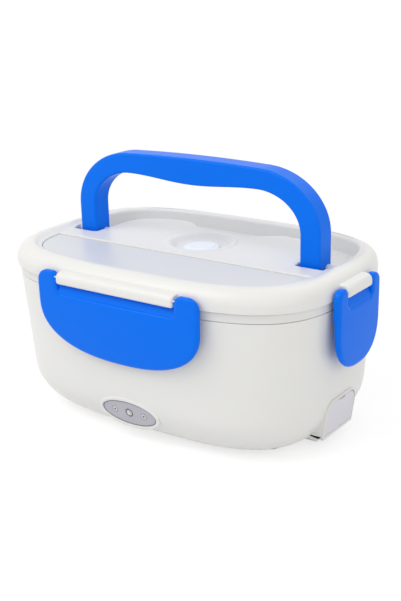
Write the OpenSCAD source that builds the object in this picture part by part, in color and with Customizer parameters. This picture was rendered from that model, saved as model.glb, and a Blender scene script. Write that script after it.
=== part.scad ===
// Electric lunch box: a heated base with a lift-out food tray, and a lid with a
// folding carry handle, a spoon compartment and four snap latches.
// +X is the end with the power inlet, -Y the front with the indicator, +Z up.
// The origin is on the table, under the middle of the box.

/* [Body] */
// Length of the lid, its longest plan size
body_l = 236; // [220:1:260]
// Width of the lid, front to back
body_w = 159; // [150:1:175]
// Height of the closed box to the rim of the lid
body_h = 114; // [108:1:126]
// Squareness of the plan: 2 is an ellipse, larger is squarer
plan_power = 3.3; // [3.0:0.1:3.8]
// Thickness of the moulded outer walls
wall = 2.4; // [1.8:0.1:2.8]
// Height of the lid from its lower edge to the rim
lid_h = 13.8; // [13.4:0.1:15]
// Height of the collar that shows between lid and base
collar_h = 6.1; // [5.6:0.1:7.5]
// How far the lid overhangs the collar and base
seam_step = 1.7; // [1.2:0.1:2.2]
// How far the end walls draw in towards the bottom
taper_l = 4.7; // [3:0.1:6]
// How far the front and back walls draw in towards the bottom
taper_w = 3.5; // [2:0.1:5]
// Radius of the round between the base walls and bottom
base_round = 29; // [24:1:32]
// Radius of the round along the top edge of the lid
lid_round = 9.8; // [8:0.1:10.5]
// Height of the rubber feet below the base
foot_h = 1.5; // [1:0.1:3]
// Radius of a rubber foot
foot_r = 7; // [5:0.5:8]

/* [Lid top] */
// Width of the rim from the lid's end to the sunk field
field_in_l = 18.5; // [17:0.5:20]
// Width of the rim from the lid's front to the sunk field
field_in_w = 16.5; // [15:0.5:19]
// Depth of the sunk field below the rim
field_d = 2; // [1.5:0.1:2.4]
// Depth of the spoon cover's top below the field
cover_sink = 1; // [0.6:0.1:1.4]
// Distance of the spoon cover's straight edge in front of the middle
ridge_y = 20; // [17:0.5:23]
// Thickness of the spoon cover
cover_t = 1.6; // [1.2:0.1:1.8]
// Width of the ledge that the spoon cover rests on
cover_ledge = 2.6; // [2:0.1:4]
// Depth of the sunk field's handle groove below the rim
groove_d = 10.8; // [10.4:0.1:11.2]
// Thickness of the floors of groove and spoon compartment
floor_t = 1.6; // [1.2:0.1:1.8]
// Radius of the ring around the steam vent
vent_ring_r = 25; // [23:0.5:26]
// Radius of the silicone vent plug
plug_r = 12; // [10:0.5:14]
// Depth of the vent dish below the field
vent_d = 4.4; // [3.5:0.1:5]
// Distance of the vent behind the middle of the lid
vent_y = 10; // [8:0.5:12]

/* [Handle] */
// Width of the handle over its legs
handle_w = 191; // [184:1:194]
// Height of the grip's top above the handle pivot
handle_h = 61; // [57:0.2:61.4]
// Width of a handle leg, seen from the front
leg_w = 13.5; // [11:0.5:15]
// Depth of the handle, front to back
handle_t = 14.5; // [12:0.5:15]
// Height of the hand gap's roof above the pivot
gap_h = 46.8; // [44:0.2:50]
// How much thicker the grip is in its middle
palm_swell = 2.8; // [0:0.2:4]
// Radius of the leg behind its pivot
leg_r = 4.9; // [4.4:0.1:5.1]
// Distance of the handle pivot behind the middle of the lid
pivot_y = 8.5; // [7:0.5:9]
// Diameter of a handle pin
handle_pin_d = 3; // [2.4:0.1:3.4]

/* [Latches] */
// Half width of the front and back latches
latch_wide = 62; // [58:0.5:66]
// Half width of the end latches
latch_narrow = 26; // [24:0.5:30]
// Width of an ear of the front and back latches
ear_wide = 16.5; // [14:0.5:20]
// Width of an ear of the end latches
ear_narrow = 10.5; // [10:0.5:13]
// Height of the latches from foot to top
latch_h = 53.4; // [48:0.2:58]
// Thickness of the latch plate
latch_t = 2.2; // [1.8:0.1:2.6]
// Width of the latch's turned-in edge
latch_rim = 2; // [1.5:0.1:3]
// How far the latch plate bows towards the base at its foot
latch_bow = 3.4; // [2:0.2:3.4]
// Distance of the latch pins outside the lid
pin_out = 3; // [2.8:0.1:3.2]
// Diameter of a latch pin
latch_pin_d = 2.4; // [2:0.1:2.6]
// How far the catch rib stands out of the base
rib_out = 1; // [0.8:0.1:1.1]

/* [Inside] */
// Height of the heated floor above the table
floor_z = 38; // [34:1:44]
// Gap between the base wall and the well at its rim
well_gap = 5.9; // [5:0.1:7]
// Thickness of the well's walls
well_t = 2; // [1.6:0.1:2.4]
// Thickness of the food tray
tray_t = 1.6; // [1.2:0.1:2]
// Gap between the tray and the well's wall
tray_gap = 1.4; // [1:0.1:2]
// Distance of the tray's divider from the middle
divider_x = 28; // [15:1:40]
// Height of the side box
side_box_h = 44; // [36:1:48]
// Length of the heating plate
plate_l = 100; // [90:1:110]
// Width of the heating plate
plate_w = 60; // [56:1:66]
// Thickness of the heating plate
plate_t = 2; // [1.5:0.1:2.2]
// Distance of the base screws from the middle, lengthwise
screw_x = 61; // [58:1:64]
// Distance of the base screws from the middle, across
screw_y = 36; // [35:1:38]
// Distance of the feet from the middle, lengthwise
foot_x = 78; // [76:1:79]
// Distance of the feet from the middle, across
foot_y = 29; // [26:1:30]

/* [Front panel] */
// Half width of the oval indicator label
label_a = 21.5; // [18:0.5:24]
// Half height of the oval indicator label
label_b = 8.4; // [7:0.2:9]
// Width of the white rim around the label
label_rim = 2.6; // [2:0.1:3.4]
// Height of the label's middle above the table
label_z = 19.4; // [18:0.2:22]
// Lean of the label's face, in degrees
label_lean = 12; // [6:1:16]
// Diameter of the indicator lamp
lamp_d = 3.4; // [3:0.1:4]

/* [Power inlet] */
// Half width of the inlet housing
inlet_a = 18.8; // [18:0.2:20]
// Height of the housing's lower edge
inlet_z = 8.4; // [8:0.2:10]
// Height of the housing's face
inlet_h = 24; // [23.4:0.2:25]
// Lean of the housing's face, in degrees
inlet_lean = 8; // [5:1:10]
// Thickness of the inlet cover
flap_t = 2.2; // [2:0.1:2.6]
// Diameter of the cover's hinge pin
flap_pin_d = 1.2; // [1:0.1:1.4]
// Radius of one lobe of the socket's opening
socket_r = 4.2; // [4:0.1:4.6]

/* [Fits] */
// Clearance of a moving piece from its neighbour
gap = 0.3; // [0.25:0.05:0.4]
// Clearance of a seated piece that does not move
seat_gap = 0.1; // [0.05:0.05:0.15]
// Clearance on the radius of a turning pin
pin_gap = 0.05; // [0.03:0.01:0.08]
// Height of the open seam between lid and collar
seam_gap = 0.4; // [0.3:0.05:0.6]

/* [Hidden] */

$fn = 48;
white = [0.93, 0.93, 0.91];
pale = [0.86, 0.87, 0.90];
blue = [0.02, 0.45, 0.95];
grey = [0.68, 0.67, 0.70];
steel = [0.75, 0.76, 0.78];
dark = [0.20, 0.20, 0.21];

// Points around a plan outline, and a small overlap for cuts
around = 64;
eps = 0.01;
cut = 1;

// Main levels and half sizes
half_l = body_l / 2;
half_w = body_w / 2;
lid_z = body_h - lid_h;
collar_z = lid_z - collar_h;
base_l = half_l - seam_step;
base_w = half_w - seam_step;
bottom_z = foot_h + wall;
collar_top = lid_z - seam_gap;
seam_cut = 0.6;
skirt_h = 4;

// Levels of the lid's top
field_z = body_h - field_d;
groove_z = body_h - groove_d;
pocket_z = groove_z - floor_t;
cover_z = field_z - cover_sink;
ledge_z = cover_z - cover_t;
field_l = half_l - field_in_l;
field_w = half_w - field_in_w;
field_power = 4;

// Handle: pivot height, room beside the legs, and the groove for the folded handle
pivot_z = groove_z + leg_r + 2 * gap;
leg_out = handle_w / 2;
leg_in = leg_out - leg_w;
front_t = handle_t - leg_r;
room_in = 2;
room_out = 7.5;
room_front = 3;
groove_power = 4;
platform_power = 4.5;
groove_in = leg_in - room_in;
groove_out = leg_out + room_out;
groove_front = front_t - pivot_y + room_front;
groove_back = pivot_y + handle_h + 2 * gap;
platform_back = pivot_y + gap_h - palm_swell - 2 * gap;
scoop_in = 14;
scoop_half = 42;
scoop_flat = 15;
corner_l = 45.5;
corner_low = 21.4;
crown = 1;
corner_x = leg_out - corner_l;
corner_h = handle_h - corner_low - crown;

// Lid liner, seal and tray levels
liner_t = 1.5;
liner_top = pocket_z - seat_gap;
liner_z = liner_top - liner_t;
seal_h = 2;
tray_top = liner_z - seal_h;
tray_flange_t = 1.8;
tray_ledge = tray_top - tray_flange_t;
collar_wall = 3.2;
flange_l = base_l - collar_wall - gap;
flange_w = base_w - collar_wall - gap;

// Well and tray half sizes
well_l = base_l - wall - well_gap;
well_w = base_w - wall - well_gap;
cavity_l = well_l - well_t;
cavity_w = well_w - well_t;
tray_l = cavity_l - tray_gap;
tray_w = cavity_w - tray_gap;
tray_z = floor_z + gap;
well_floor_t = plate_t + 1;
plate_ledge = 3;
plate_round = 8;
divider_t = 1.6;
divider_low = 8;
box_room = 2;

// Latch levels: pins, plate, the lid's bars and the base's catch ribs
pin_up = 5.8;
plate_drop = 5.4;
bar_up = 0.8;
rib_drop = 3.4;
face_out = 2;
latch_pin_z = lid_z + pin_up;
ear_r = pin_out - seat_gap;
latch_top = latch_pin_z + ear_r;
latch_z = latch_top - latch_h;
plate_top = lid_z - plate_drop;
proud = pin_out + face_out;
bar_z = lid_z + bar_up;
bar_round = 4;
bar_chamfer = 1.2;
bar_in = wall - 2 * seat_gap;
rib_z = collar_z - rib_drop;
rib_h = 2;
rib_half_wide = 38;
rib_half_narrow = 11;

// Latch edges and shapes
latch_power = 2.4;
ear_round = 5.5;
ear_chamfer = 4;
pin_inset = 2.5;
notch_chamfer = 2.4;
rim_depth = 4.2;
tooth_h = 2;
tooth_gap = 0.2;
drop_wide = 33;
drop_narrow = 26;

// Inlet: its face is a leaning plane through its lower edge
inlet_in = 8;
inlet_x = half_l - inlet_in;
inlet_round = 9;
inlet_low = foot_h + 3;
housing_l = 24;
flap_a = inlet_a - 1.6;
flap_round = inlet_round - 1.4;
notch_a = 4;
notch_b = 1.6;
notch_deep = 0.8;
inlet_mid = 12;
socket_a = 13;
socket_b = 7.6;
socket_round = 2.5;
socket_l = 20;
socket_deep = 16;
lobe_gap = 8.4;
flap_pin_up = 1.6;
flap_pin_cover = 0.4;
socket_pin_d = 2.4;
socket_pin_l = 16.4;
socket_pin_back = socket_deep + 6.4;
pin_seat = 0.04;

// Label: its face stands in front of the curved wall, most at its lower edge
label_y = base_w - taper_w - 0.9;

// Screws, feet and bosses of the base
screw_r = 1.5;
screw_head_r = 3;
screw_sink = 3.6;
boss_r = 4.5;
boss_top = foot_h + 14;
screw_tip = boss_top + 10;
foot_seat = 1.2;

// Label and lamp, with the middle of the board's back where its wires start
label_back = 7;
label_sink = 0.9;
label_t = 0.6;
board_t = 1.6;
board_a = 9;
board_b = 5;
lamp_back = [0, -label_y + (label_back + board_t) * cos(label_lean),
    label_z + (label_back + board_t) * sin(label_lean)];

// Inner end of the socket's pins, where the power wires start
plug_back = [inlet_x - socket_pin_back * cos(inlet_lean) + inlet_mid * sin(inlet_lean), 0,
    inlet_z + inlet_mid * cos(inlet_lean) + socket_pin_back * sin(inlet_lean)];

// Heater parts under the plate
plate_under = floor_z - plate_t;
heater_a = 30;
heater_b = 11;
heater_h = 7;
heater_low = plate_under - heater_h;
heater_mid = heater_low + 3;
clamp_t = 1.2;
clamp_b = 7;
clamp_low = heater_low - clamp_t;
clamp_screw_r = 1.2;
clamp_screw_l = 7;
clamp_head_r = 2.6;
clamp_head_h = 1.6;
stud_x = 37;
stud_r = 3.5;
thermostat_x = -20;
thermostat_y = 19;
can_r = 7;
can_h = 6;
blade_y = 4;
blade_h = 4;
blade_a = 1.5;
blade_t = 0.8;
fuse_x = 16;
fuse_y = 18;
fuse_r = 2;
fuse_a = 7;
wire_d = 2;
wire_gap = 0.8;
lamp_wire_d = 1.2;
side_lid_z = tray_z + tray_t + 2 * seat_gap + side_box_h;
side_lid_t = 2;
side_rim_h = 3;

// Walls of the lid's pockets, vent, seal and handle details
pocket_t = 1.6;
roof_t = 2.2;
vent_floor = field_z - vent_d;
dish_w = 9;
ring_r = 2;
stem_r = 3;
plug_t = 1.6;
knob_h = 1;
seal_out = flange_l - 1.6;
seal_in = seal_out - 5;
seal_sink = 0.8;
pivot_boss_r = 3.2;
pin_from = groove_in - pocket_t;
pin_to = groove_out + pocket_t;

// Spoon: it lies along the compartment, a little nearer to the ridge
spoon_room = 17.5;
spoon_l = 2 * (field_l - spoon_room);
spoon_h = 5.4;
spoon_stem_h = 2.4;
spoon_end_r = 7;
spoon_neck = 5;
bowl_a = 24;
bowl_b = (field_w - ridge_y) / 2 - 7.2;
bowl_r = 25.4;
spoon_mid = (field_w + ridge_y) / 2 - 2.8;

// Inset of the base's side wall at height z, for a given taper
function wall_in(z, taper) = taper * (collar_z - z) / (collar_z - base_round);

// Inset of a quarter round of radius r whose centre is at height c
function round_in(z, r, c) = z >= c ? 0 : r - sqrt(max(0, r * r - (c - z) * (c - z)));

// One closed plan outline with half sizes a and b, as [x, y] points
function outline(a, b, n = plan_power) = [for (i = [0 : around - 1])
    let (t = 360 * i / around)
    [a * sign(cos(t)) * pow(abs(cos(t)), 2 / n), b * sign(sin(t)) * pow(abs(sin(t)), 2 / n)]];

// Distance of an outline from the X axis at a given x
function outline_y(x, a, b, n = plan_power) = b * pow(max(0, 1 - pow(abs(x) / a, n)), 1 / n);

// Half sizes of the base's outer and inner surface at height z
function base_ring(z, inset = 0) = let (r = base_round - inset, c = base_round)
    [z, base_l - wall_in(z, taper_l) - inset - round_in(z, r, c),
        base_w - wall_in(z, taper_w) - inset - round_in(z, r, c)];

// Half sizes of the lid's outer surface at height z
function lid_ring(z) = let (c = body_h - lid_round,
    i = z <= c ? 0 : lid_round - sqrt(max(0, lid_round * lid_round - (z - c) * (z - c))))
    [z, half_l - i, half_w - i];

// Heights from low to high, closer together along a quarter round
function arc_steps(low, high, count) = [for (i = [0 : count]) high - (high - low) * cos(90 * i / count)];

// Solid through a list of [z, a, b] rings, from the lowest to the highest
module ring_solid(rings) {
    count = len(rings);
    points = [for (g = rings) for (p = outline(g[1], g[2])) [p[0], p[1], g[0]]];
    sides = [for (k = [0 : count - 2], i = [0 : around - 1], h = [0, 1])
        let (j = (i + 1) % around, low = k * around, top = low + around)
        h == 0 ? [low + i, top + i, low + j] : [top + i, top + j, low + j]];
    polyhedron(points, concat([[for (i = [0 : around - 1]) i]],
        [[for (i = [around - 1 : -1 : 0]) (count - 1) * around + i]], sides));
}

// Open vessel: outer rings from the bottom up, then inner rings from the top down
module vessel(outer, inner) {
    ring_solid(concat(outer, [for (i = [len(inner) - 1 : -1 : 0]) inner[i]]));
}

// Upright slab with a plan outline
module plan_slab(a, b, low, high) {
    translate([0, 0, low]) linear_extrude(high - low) polygon(outline(a, b));
}

// Rectangle with round corners, centred, as a 2D shape of exact arcs
module round_rect(a, b, r) {
    square([2 * (a - r), 2 * b], center = true);
    square([2 * a, 2 * (b - r)], center = true);
    for (x = [-1, 1], y = [-1, 1]) translate([x * (a - r), y * (b - r)]) circle(r);
}

// Puts children at the four corners at distance x and y from the middle
module four(x, y) {
    for (sx = [-1, 1], sy = [-1, 1]) translate([sx * x, sy * y, 0]) children();
}

// Round wire through a list of points, its rings turned by a reference direction
function wire_dir(p, i) = let (n = len(p) - 1, d = p[min(n, i + 1)] - p[max(0, i - 1)]) d / norm(d);
module wire(p, d, reference = [0, 1, 0]) {
    sides = 8;
    points = [for (i = [0 : len(p) - 1]) let (f = wire_dir(p, i), side = cross(f, reference),
        u = side / norm(side), v = cross(f, u))
        for (k = [0 : sides - 1]) p[i] + d / 2 * (u * cos(360 * k / sides) + v * sin(360 * k / sides))];
    tube = [for (i = [0 : len(p) - 2], k = [0 : sides - 1], h = [0, 1])
        let (j = (k + 1) % sides, low = i * sides, top = low + sides)
        h == 0 ? [low + k, top + k, low + j] : [top + k, top + j, low + j]];
    polyhedron(points, concat([[for (k = [0 : sides - 1]) k]],
        [[for (k = [sides - 1 : -1 : 0]) (len(p) - 1) * sides + k]], tube));
}

// Point list of a smooth bend from a through b to c
function bend(a, b, c, count = 6) = [for (i = [0 : count]) let (t = i / count)
    (1 - t) * (1 - t) * a + 2 * t * (1 - t) * b + t * t * c];

// Moves children into the frame of the label's leaning face, X right, Y up, Z out
module on_label() {
    translate([0, -label_y, label_z]) rotate([90 + label_lean, 0, 0]) children();
}

// Moves children into the frame of the inlet's leaning face, with Z out of the
// face, X to the right seen from outside and Y up from its lower edge
module on_inlet() {
    translate([inlet_x, 0, inlet_z]) rotate([0, inlet_lean, 0]) rotate([90, 0, 90]) children();
}

// Oval as a 2D shape of straight-edged points
module oval(a, b) {
    polygon([for (i = [0 : around - 1]) [a * cos(360 * i / around), b * sin(360 * i / around)]]);
}

// Base shell: outer moulding with the panel boss, inlet housing and catch ribs
module base_outer() {
    low = [for (z = arc_steps(foot_h, base_round, 7)) base_ring(z)];
    inner = [for (z = arc_steps(bottom_z, base_round, 6)) base_ring(z, wall)];
    vessel(concat(low, [base_ring(collar_z)]), concat(inner, [base_ring(collar_z, wall)]));
}

module catch_ribs() {
    front = base_ring(rib_z)[2];
    end = base_ring(rib_z)[1];
    for (a = [0, 180]) rotate(a) translate([-rib_half_wide, -front - rib_out, rib_z])
        cube([2 * rib_half_wide, rib_out + wall - 0.8, rib_h]);
    for (a = [90, 270]) rotate(a) translate([-rib_half_narrow, -end - rib_out, rib_z])
        cube([2 * rib_half_narrow, rib_out + wall - 0.8, rib_h]);
}

// Outline of the inlet housing in the frame of its face, with an inset
module inlet_outline(inset, low, r = inlet_round) {
    a = inlet_a - inset;
    top = inlet_h - inset;
    translate([-a, low]) square([2 * a, top - r - low]);
    translate([-a + r, low]) square([2 * (a - r), top - low]);
    for (s = [-1, 1]) translate([s * (a - r), top - r]) circle(r);
}

module inlet_housing() {
    intersection() {
        on_inlet() translate([0, 0, -housing_l]) linear_extrude(housing_l) inlet_outline(0, -inlet_z);
        translate([0, inlet_a + cut, 0]) rotate([90, 0, 0]) linear_extrude(2 * (inlet_a + cut))
            polygon([[inlet_x - 18, inlet_low], [inlet_x - 5.5, inlet_low],
                [inlet_x - 0.6, inlet_z], [inlet_x + 6, inlet_z + 30],
                [inlet_x - 8, inlet_z + 30], [inlet_x - 18, inlet_z + 12]]);
    }
}

module socket_shape(a, b, low, high) {
    translate([0, inlet_mid, low]) linear_extrude(high - low)
        round_rect(a, b, socket_round);
}

module screw_bosses(r, low, high) {
    four(screw_x, screw_y) translate([0, 0, low]) cylinder(r = r, h = high - low);
}

module base_shell() color(white) difference() {
    union() {
        base_outer();
        catch_ribs();
        inlet_housing();
        on_label() translate([0, 0, -label_back])
            linear_extrude(label_back) oval(label_a + label_rim, label_b + label_rim);
        screw_bosses(boss_r, bottom_z - 1, boss_top);
    }
    four(foot_x, foot_y) translate([0, 0, foot_h - cut]) cylinder(r = foot_r + seat_gap, h = foot_seat + cut);
    screw_bosses(screw_head_r + gap, foot_h - cut, foot_h + screw_sink);
    screw_bosses(screw_r + seat_gap, foot_h, boss_top + cut);
    on_label() {
        translate([0, 0, -label_sink]) linear_extrude(label_sink + cut)
            oval(label_a + seat_gap, label_b + seat_gap);
        translate([0, 0, -label_back - cut]) cylinder(d = lamp_d + 2 * seat_gap, h = label_back + 2 * cut);
    }
    on_inlet() {
        translate([0, 0, -flap_t - gap]) linear_extrude(flap_t + gap + cut)
            inlet_outline(inlet_a - flap_a - gap, -inlet_z, flap_round);
        socket_shape(socket_a + seat_gap, socket_b + seat_gap, -housing_l - 2, 0);
        translate([-inlet_a + flap_pin_cover, flap_pin_up, -flap_t / 2]) rotate([0, 90, 0])
            cylinder(d = flap_pin_d + pin_seat, h = 2 * (inlet_a - flap_pin_cover));
    }
}

// Inner well: the liner that holds the tray, with the collar that shows outside
module inner_well() color(white) difference() {
    union() {
        plan_slab(base_l - seam_cut, base_w - seam_cut, collar_z, collar_z + seam_cut);
        plan_slab(base_l, base_w, collar_z + seam_cut, collar_top);
        plan_slab(well_l, well_w, floor_z - well_floor_t, collar_z + cut);
        difference() {
            plan_slab(base_l - wall - 2 * gap, base_w - wall - 2 * gap, collar_z - skirt_h, collar_z + eps);
            plan_slab(base_l - wall - 2, base_w - wall - 2, collar_z - skirt_h - cut, collar_z);
        }
        screw_bosses(boss_r, boss_top + seat_gap, floor_z - well_floor_t + eps);
    }
    plan_slab(cavity_l, cavity_w, floor_z, body_h);
    plan_slab(flange_l + gap, flange_w + gap, tray_ledge, body_h);
    plate_shape(plate_l / 2 + seat_gap, plate_w / 2 + seat_gap, floor_z - plate_t, floor_z + cut);
    plate_shape(plate_l / 2 - plate_ledge, plate_w / 2 - plate_ledge, 0, floor_z);
    screw_bosses(screw_r + seat_gap, 0, screw_tip + gap);
}

module plate_shape(a, b, low, high) {
    translate([0, 0, low]) linear_extrude(high - low) round_rect(a, b, plate_round);
}

// Heating plate with the two studs that hold the heater's clamp
module heating_plate() color(steel) {
    difference() {
        union() {
            plate_shape(plate_l / 2, plate_w / 2, plate_under, floor_z);
            for (s = [-1, 1]) translate([s * stud_x, 0, heater_low])
                cylinder(r = stud_r, h = plate_under - heater_low + eps);
        }
        for (s = [-1, 1]) translate([s * stud_x, 0, heater_low - cut])
            cylinder(r = clamp_screw_r + pin_gap, h = clamp_screw_l);
    }
}

module ptc_heater() color(dark) translate([-heater_a, -heater_b, heater_low])
    cube([2 * heater_a, 2 * heater_b, heater_h]);

module heater_clamp() color(steel) difference() {
    translate([0, 0, clamp_low]) linear_extrude(clamp_t) round_rect(stud_x + 5, clamp_b, 3);
    for (s = [-1, 1]) translate([s * stud_x, 0, 0]) cylinder(r = clamp_screw_r + seat_gap, h = body_h);
}

module clamp_screws() color(steel) for (s = [-1, 1]) translate([s * stud_x, 0, 0]) {
    translate([0, 0, clamp_low - clamp_head_h]) cylinder(r = clamp_head_r, h = clamp_head_h);
    translate([0, 0, clamp_low - eps]) cylinder(r = clamp_screw_r, h = clamp_screw_l - 2);
}

// Thermostat: a round can against the plate with two blade terminals
module thermostat() color(dark) translate([thermostat_x, thermostat_y, 0]) {
    translate([0, 0, plate_under - can_h]) cylinder(r = can_r, h = can_h);
    for (s = [-1, 1]) translate([-blade_t / 2, s * blade_y - blade_a, plate_under - can_h - blade_h])
        cube([blade_t, 2 * blade_a, blade_h + eps]);
}

// Thermal fuse: a small tube held to the plate by its saddle
module thermal_fuse() color(steel) translate([fuse_x, fuse_y, plate_under - fuse_r]) {
    rotate([0, 90, 0]) cylinder(r = fuse_r, h = 2 * fuse_a, center = true);
    translate([-fuse_a / 2, -fuse_r - 0.6, 0]) cube([fuse_a, 2 * fuse_r + 1.2, fuse_r]);
}

// Power inlet: a two-pin socket behind a hinged cover
module inlet_socket() color(dark) on_inlet() difference() {
    socket_shape(socket_a, socket_b, -socket_l, -flap_t - 2 * gap);
    for (s = [-1, 1]) translate([s * lobe_gap / 2, inlet_mid, 0]) {
        translate([0, 0, -socket_deep]) cylinder(r = socket_r, h = socket_deep);
        translate([0, 0, -socket_l - cut]) cylinder(d = socket_pin_d + pin_seat, h = socket_l);
    }
    translate([-lobe_gap / 2, inlet_mid - socket_r * 0.7, -socket_deep])
        cube([lobe_gap, socket_r * 1.4, socket_deep]);
}

module socket_pins() color(steel) on_inlet() for (s = [-1, 1])
    translate([s * lobe_gap / 2, inlet_mid, -socket_pin_back]) cylinder(d = socket_pin_d, h = socket_pin_l);

module inlet_cover() color(pale) on_inlet() difference() {
    union() {
        translate([0, 0, -flap_t]) linear_extrude(flap_t)
            inlet_outline(inlet_a - flap_a, flap_pin_up, flap_round + gap);
        translate([0, flap_pin_up, -flap_t / 2]) rotate([0, 90, 0])
            cylinder(d = flap_t, h = 2 * flap_a, center = true);
    }
    translate([0, flap_pin_up, -flap_t / 2]) rotate([0, 90, 0])
        cylinder(d = flap_pin_d + 2 * pin_gap, h = 3 * inlet_a, center = true);
    translate([0, inlet_h - notch_b, -notch_deep]) linear_extrude(flap_t) round_rect(notch_a, notch_b, 1.2);
}

module inlet_hinge_pin() color(steel) on_inlet() translate([0, flap_pin_up, -flap_t / 2])
    rotate([0, 90, 0]) cylinder(d = flap_pin_d, h = 2 * (inlet_a - flap_pin_cover) - gap, center = true);

// Indicator: oval label, lamp lens and the small board behind it
module indicator_label() color(grey) on_label() difference() {
    translate([0, 0, -label_sink]) linear_extrude(label_t) oval(label_a, label_b);
    translate([0, 0, -4]) cylinder(d = lamp_d + 2 * seat_gap, h = 8);
}

module lamp_lens() color("white") on_label() translate([0, 0, -label_back])
    cylinder(d = lamp_d, h = label_back + 0.2);

module lamp_board() color("seagreen") on_label()
    translate([-board_a, -board_b, -label_back - board_t]) cube([2 * board_a, 2 * board_b, board_t]);

// Wires on their real routes inside the base
module power_wires() {
    hot = plug_back + [-wire_gap, lobe_gap / 2, 0];
    cold = plug_back + [-wire_gap, -lobe_gap / 2, 0];
    blade = [thermostat_x + blade_t / 2 + wire_gap, thermostat_y, plate_under - can_h - blade_h / 2];
    fuse = [fuse_x, fuse_y, plate_under - fuse_r];
    heater_end = [heater_a + wire_gap, 0, heater_mid];
    color("firebrick") {
        wire(bend(hot, [70, 8, 12], blade - [0, blade_y, 0], 10), wire_d);
        wire(bend(fuse - [fuse_a + wire_gap, 0, 0], [-2, 22, 27], blade + [0, blade_y, 0], 8), wire_d);
        wire(bend(fuse + [fuse_a + wire_gap, 0, 0], [44, 8, 30], heater_end + [0, 7, 0], 8), wire_d);
    }
    color("royalblue") wire(bend(cold, [66, -12, 24], heater_end - [0, 8, 0], 10), wire_d);
}

module lamp_wires() color("gainsboro") for (s = [-1, 1])
    wire(bend(lamp_back + [s * 6, wire_gap, 0], [s * 14 + 6, -48, 12],
        [s * 4 + 20, -heater_b - wire_gap, heater_mid], 9), lamp_wire_d, [0, 0, 1]);

module base_screws() color(steel) {
    screw_bosses(screw_head_r, foot_h + screw_sink - 2, foot_h + screw_sink);
    screw_bosses(screw_r, foot_h + screw_sink - eps, screw_tip);
}

module feet() color(dark) four(foot_x, foot_y) {
    cylinder(r1 = foot_r - 0.6, r2 = foot_r, h = 0.6);
    translate([0, 0, 0.6 - eps]) cylinder(r = foot_r, h = foot_h + foot_seat - 0.6 + eps);
}

// Food tray with a divider, hanging by its flange on the collar's ledge
module food_tray() color("whitesmoke") difference() {
    union() {
        plan_slab(tray_l, tray_w, tray_z, tray_ledge + eps);
        plan_slab(flange_l, flange_w, tray_ledge, tray_top);
    }
    difference() {
        plan_slab(tray_l - tray_t, tray_w - tray_t, tray_z + tray_t, body_h);
        translate([divider_x, -tray_w, tray_z])
            cube([divider_t, 2 * tray_w, tray_top - divider_low - tray_z]);
    }
}

// Side box: a small lidded container that stands in the tray's right part
module box_outline(inset) {
    intersection() {
        polygon(outline(tray_l - tray_t - box_room - inset, tray_w - tray_t - box_room - inset));
        translate([divider_x + divider_t + box_room / 2 + inset, -tray_w])
            square([tray_l, 2 * tray_w]);
    }
}

module side_box() color("whitesmoke") translate([0, 0, tray_z + tray_t + seat_gap]) difference() {
    linear_extrude(side_box_h) box_outline(0);
    translate([0, 0, tray_t]) linear_extrude(side_box_h) box_outline(tray_t);
}

module side_box_lid() color(pale) translate([0, 0, side_lid_z]) difference() {
    union() {
        linear_extrude(side_lid_t) box_outline(0);
        translate([0, 0, -side_rim_h]) linear_extrude(side_rim_h + eps) box_outline(tray_t + gap);
    }
    translate([0, 0, -side_rim_h - cut]) linear_extrude(side_rim_h + cut) box_outline(2 * tray_t + gap);
}

// Lid: plan shapes of the groove for the folded handle and of the platform in it
function scoop(x) = let (d = abs(x), s = (d - scoop_flat) / (scoop_half - scoop_flat))
    d <= scoop_flat ? 1 : d >= scoop_half ? 0 : 0.5 + 0.5 * cos(180 * s);

module platform_plan(inset) {
    a = groove_in - inset;
    b = platform_back - inset;
    polygon(concat([for (t = [-90 : 5 : 90]) let (x = a * sin(t))
        [x, outline_y(x, a, b, platform_power) - scoop_in * scoop(x)]], [[a, -half_w], [-a, -half_w]]));
}

module groove_plan(grow) {
    difference() {
        intersection() {
            polygon(outline(groove_out + grow, groove_back + grow, groove_power));
            translate([-body_l, -groove_front - grow]) square([2 * body_l, body_l]);
        }
        platform_plan(grow);
    }
}

// Plan of the lid's sunk field, inset
module field_plan(inset) polygon(outline(field_l - inset, field_w - inset, field_power));

// Plan of the spoon compartment: the sunk field in front of the ridge, inset
module strip_plan(inset) {
    intersection() {
        field_plan(inset);
        translate([-body_l, -body_w - ridge_y - inset]) square([2 * body_l, body_w]);
    }
}

// Profile of the vent dish, from the middle of its floor outwards
module vent_cut() translate([0, vent_y, 0]) rotate_extrude() polygon(concat(
    [[0, body_h + cut], [0, vent_floor], [plug_r + gap, vent_floor]],
    [for (i = [0 : 6]) let (t = 15 * i) [plug_r + gap + dish_w * (0.25 + 0.75 * sin(t)),
        field_z - (vent_d - 0.6) * cos(t)]], [[plug_r + gap + dish_w, body_h + cut]]));

// Bar at the front of the lid that a latch hangs on, for a lid reach and half width
module latch_bar(reach, half) {
    a = reach + proud;
    rotate([90, 0, 90]) translate([0, 0, -half]) linear_extrude(2 * half) polygon(concat(
        [[-reach + bar_in, latch_top], [-reach + bar_in, bar_z], [-a + bar_chamfer, bar_z],
            [-a, bar_z + bar_chamfer]],
        [for (t = [0 : 15 : 90]) [-a + bar_round * (1 - cos(t)), latch_top - bar_round * (1 - sin(t))]]));
}

module lid_cavity() {
    a = half_l - wall;
    b = half_w - wall;
    ring_solid([[lid_z - cut, a, b], [lid_z + 4, a, b], [field_z - roof_t, a - 3, b - 3]]);
}

module pivot_places() for (s = [-1, 1]) translate([0, pivot_y, pivot_z]) rotate([0, 90 * s, 0]) children();

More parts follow.
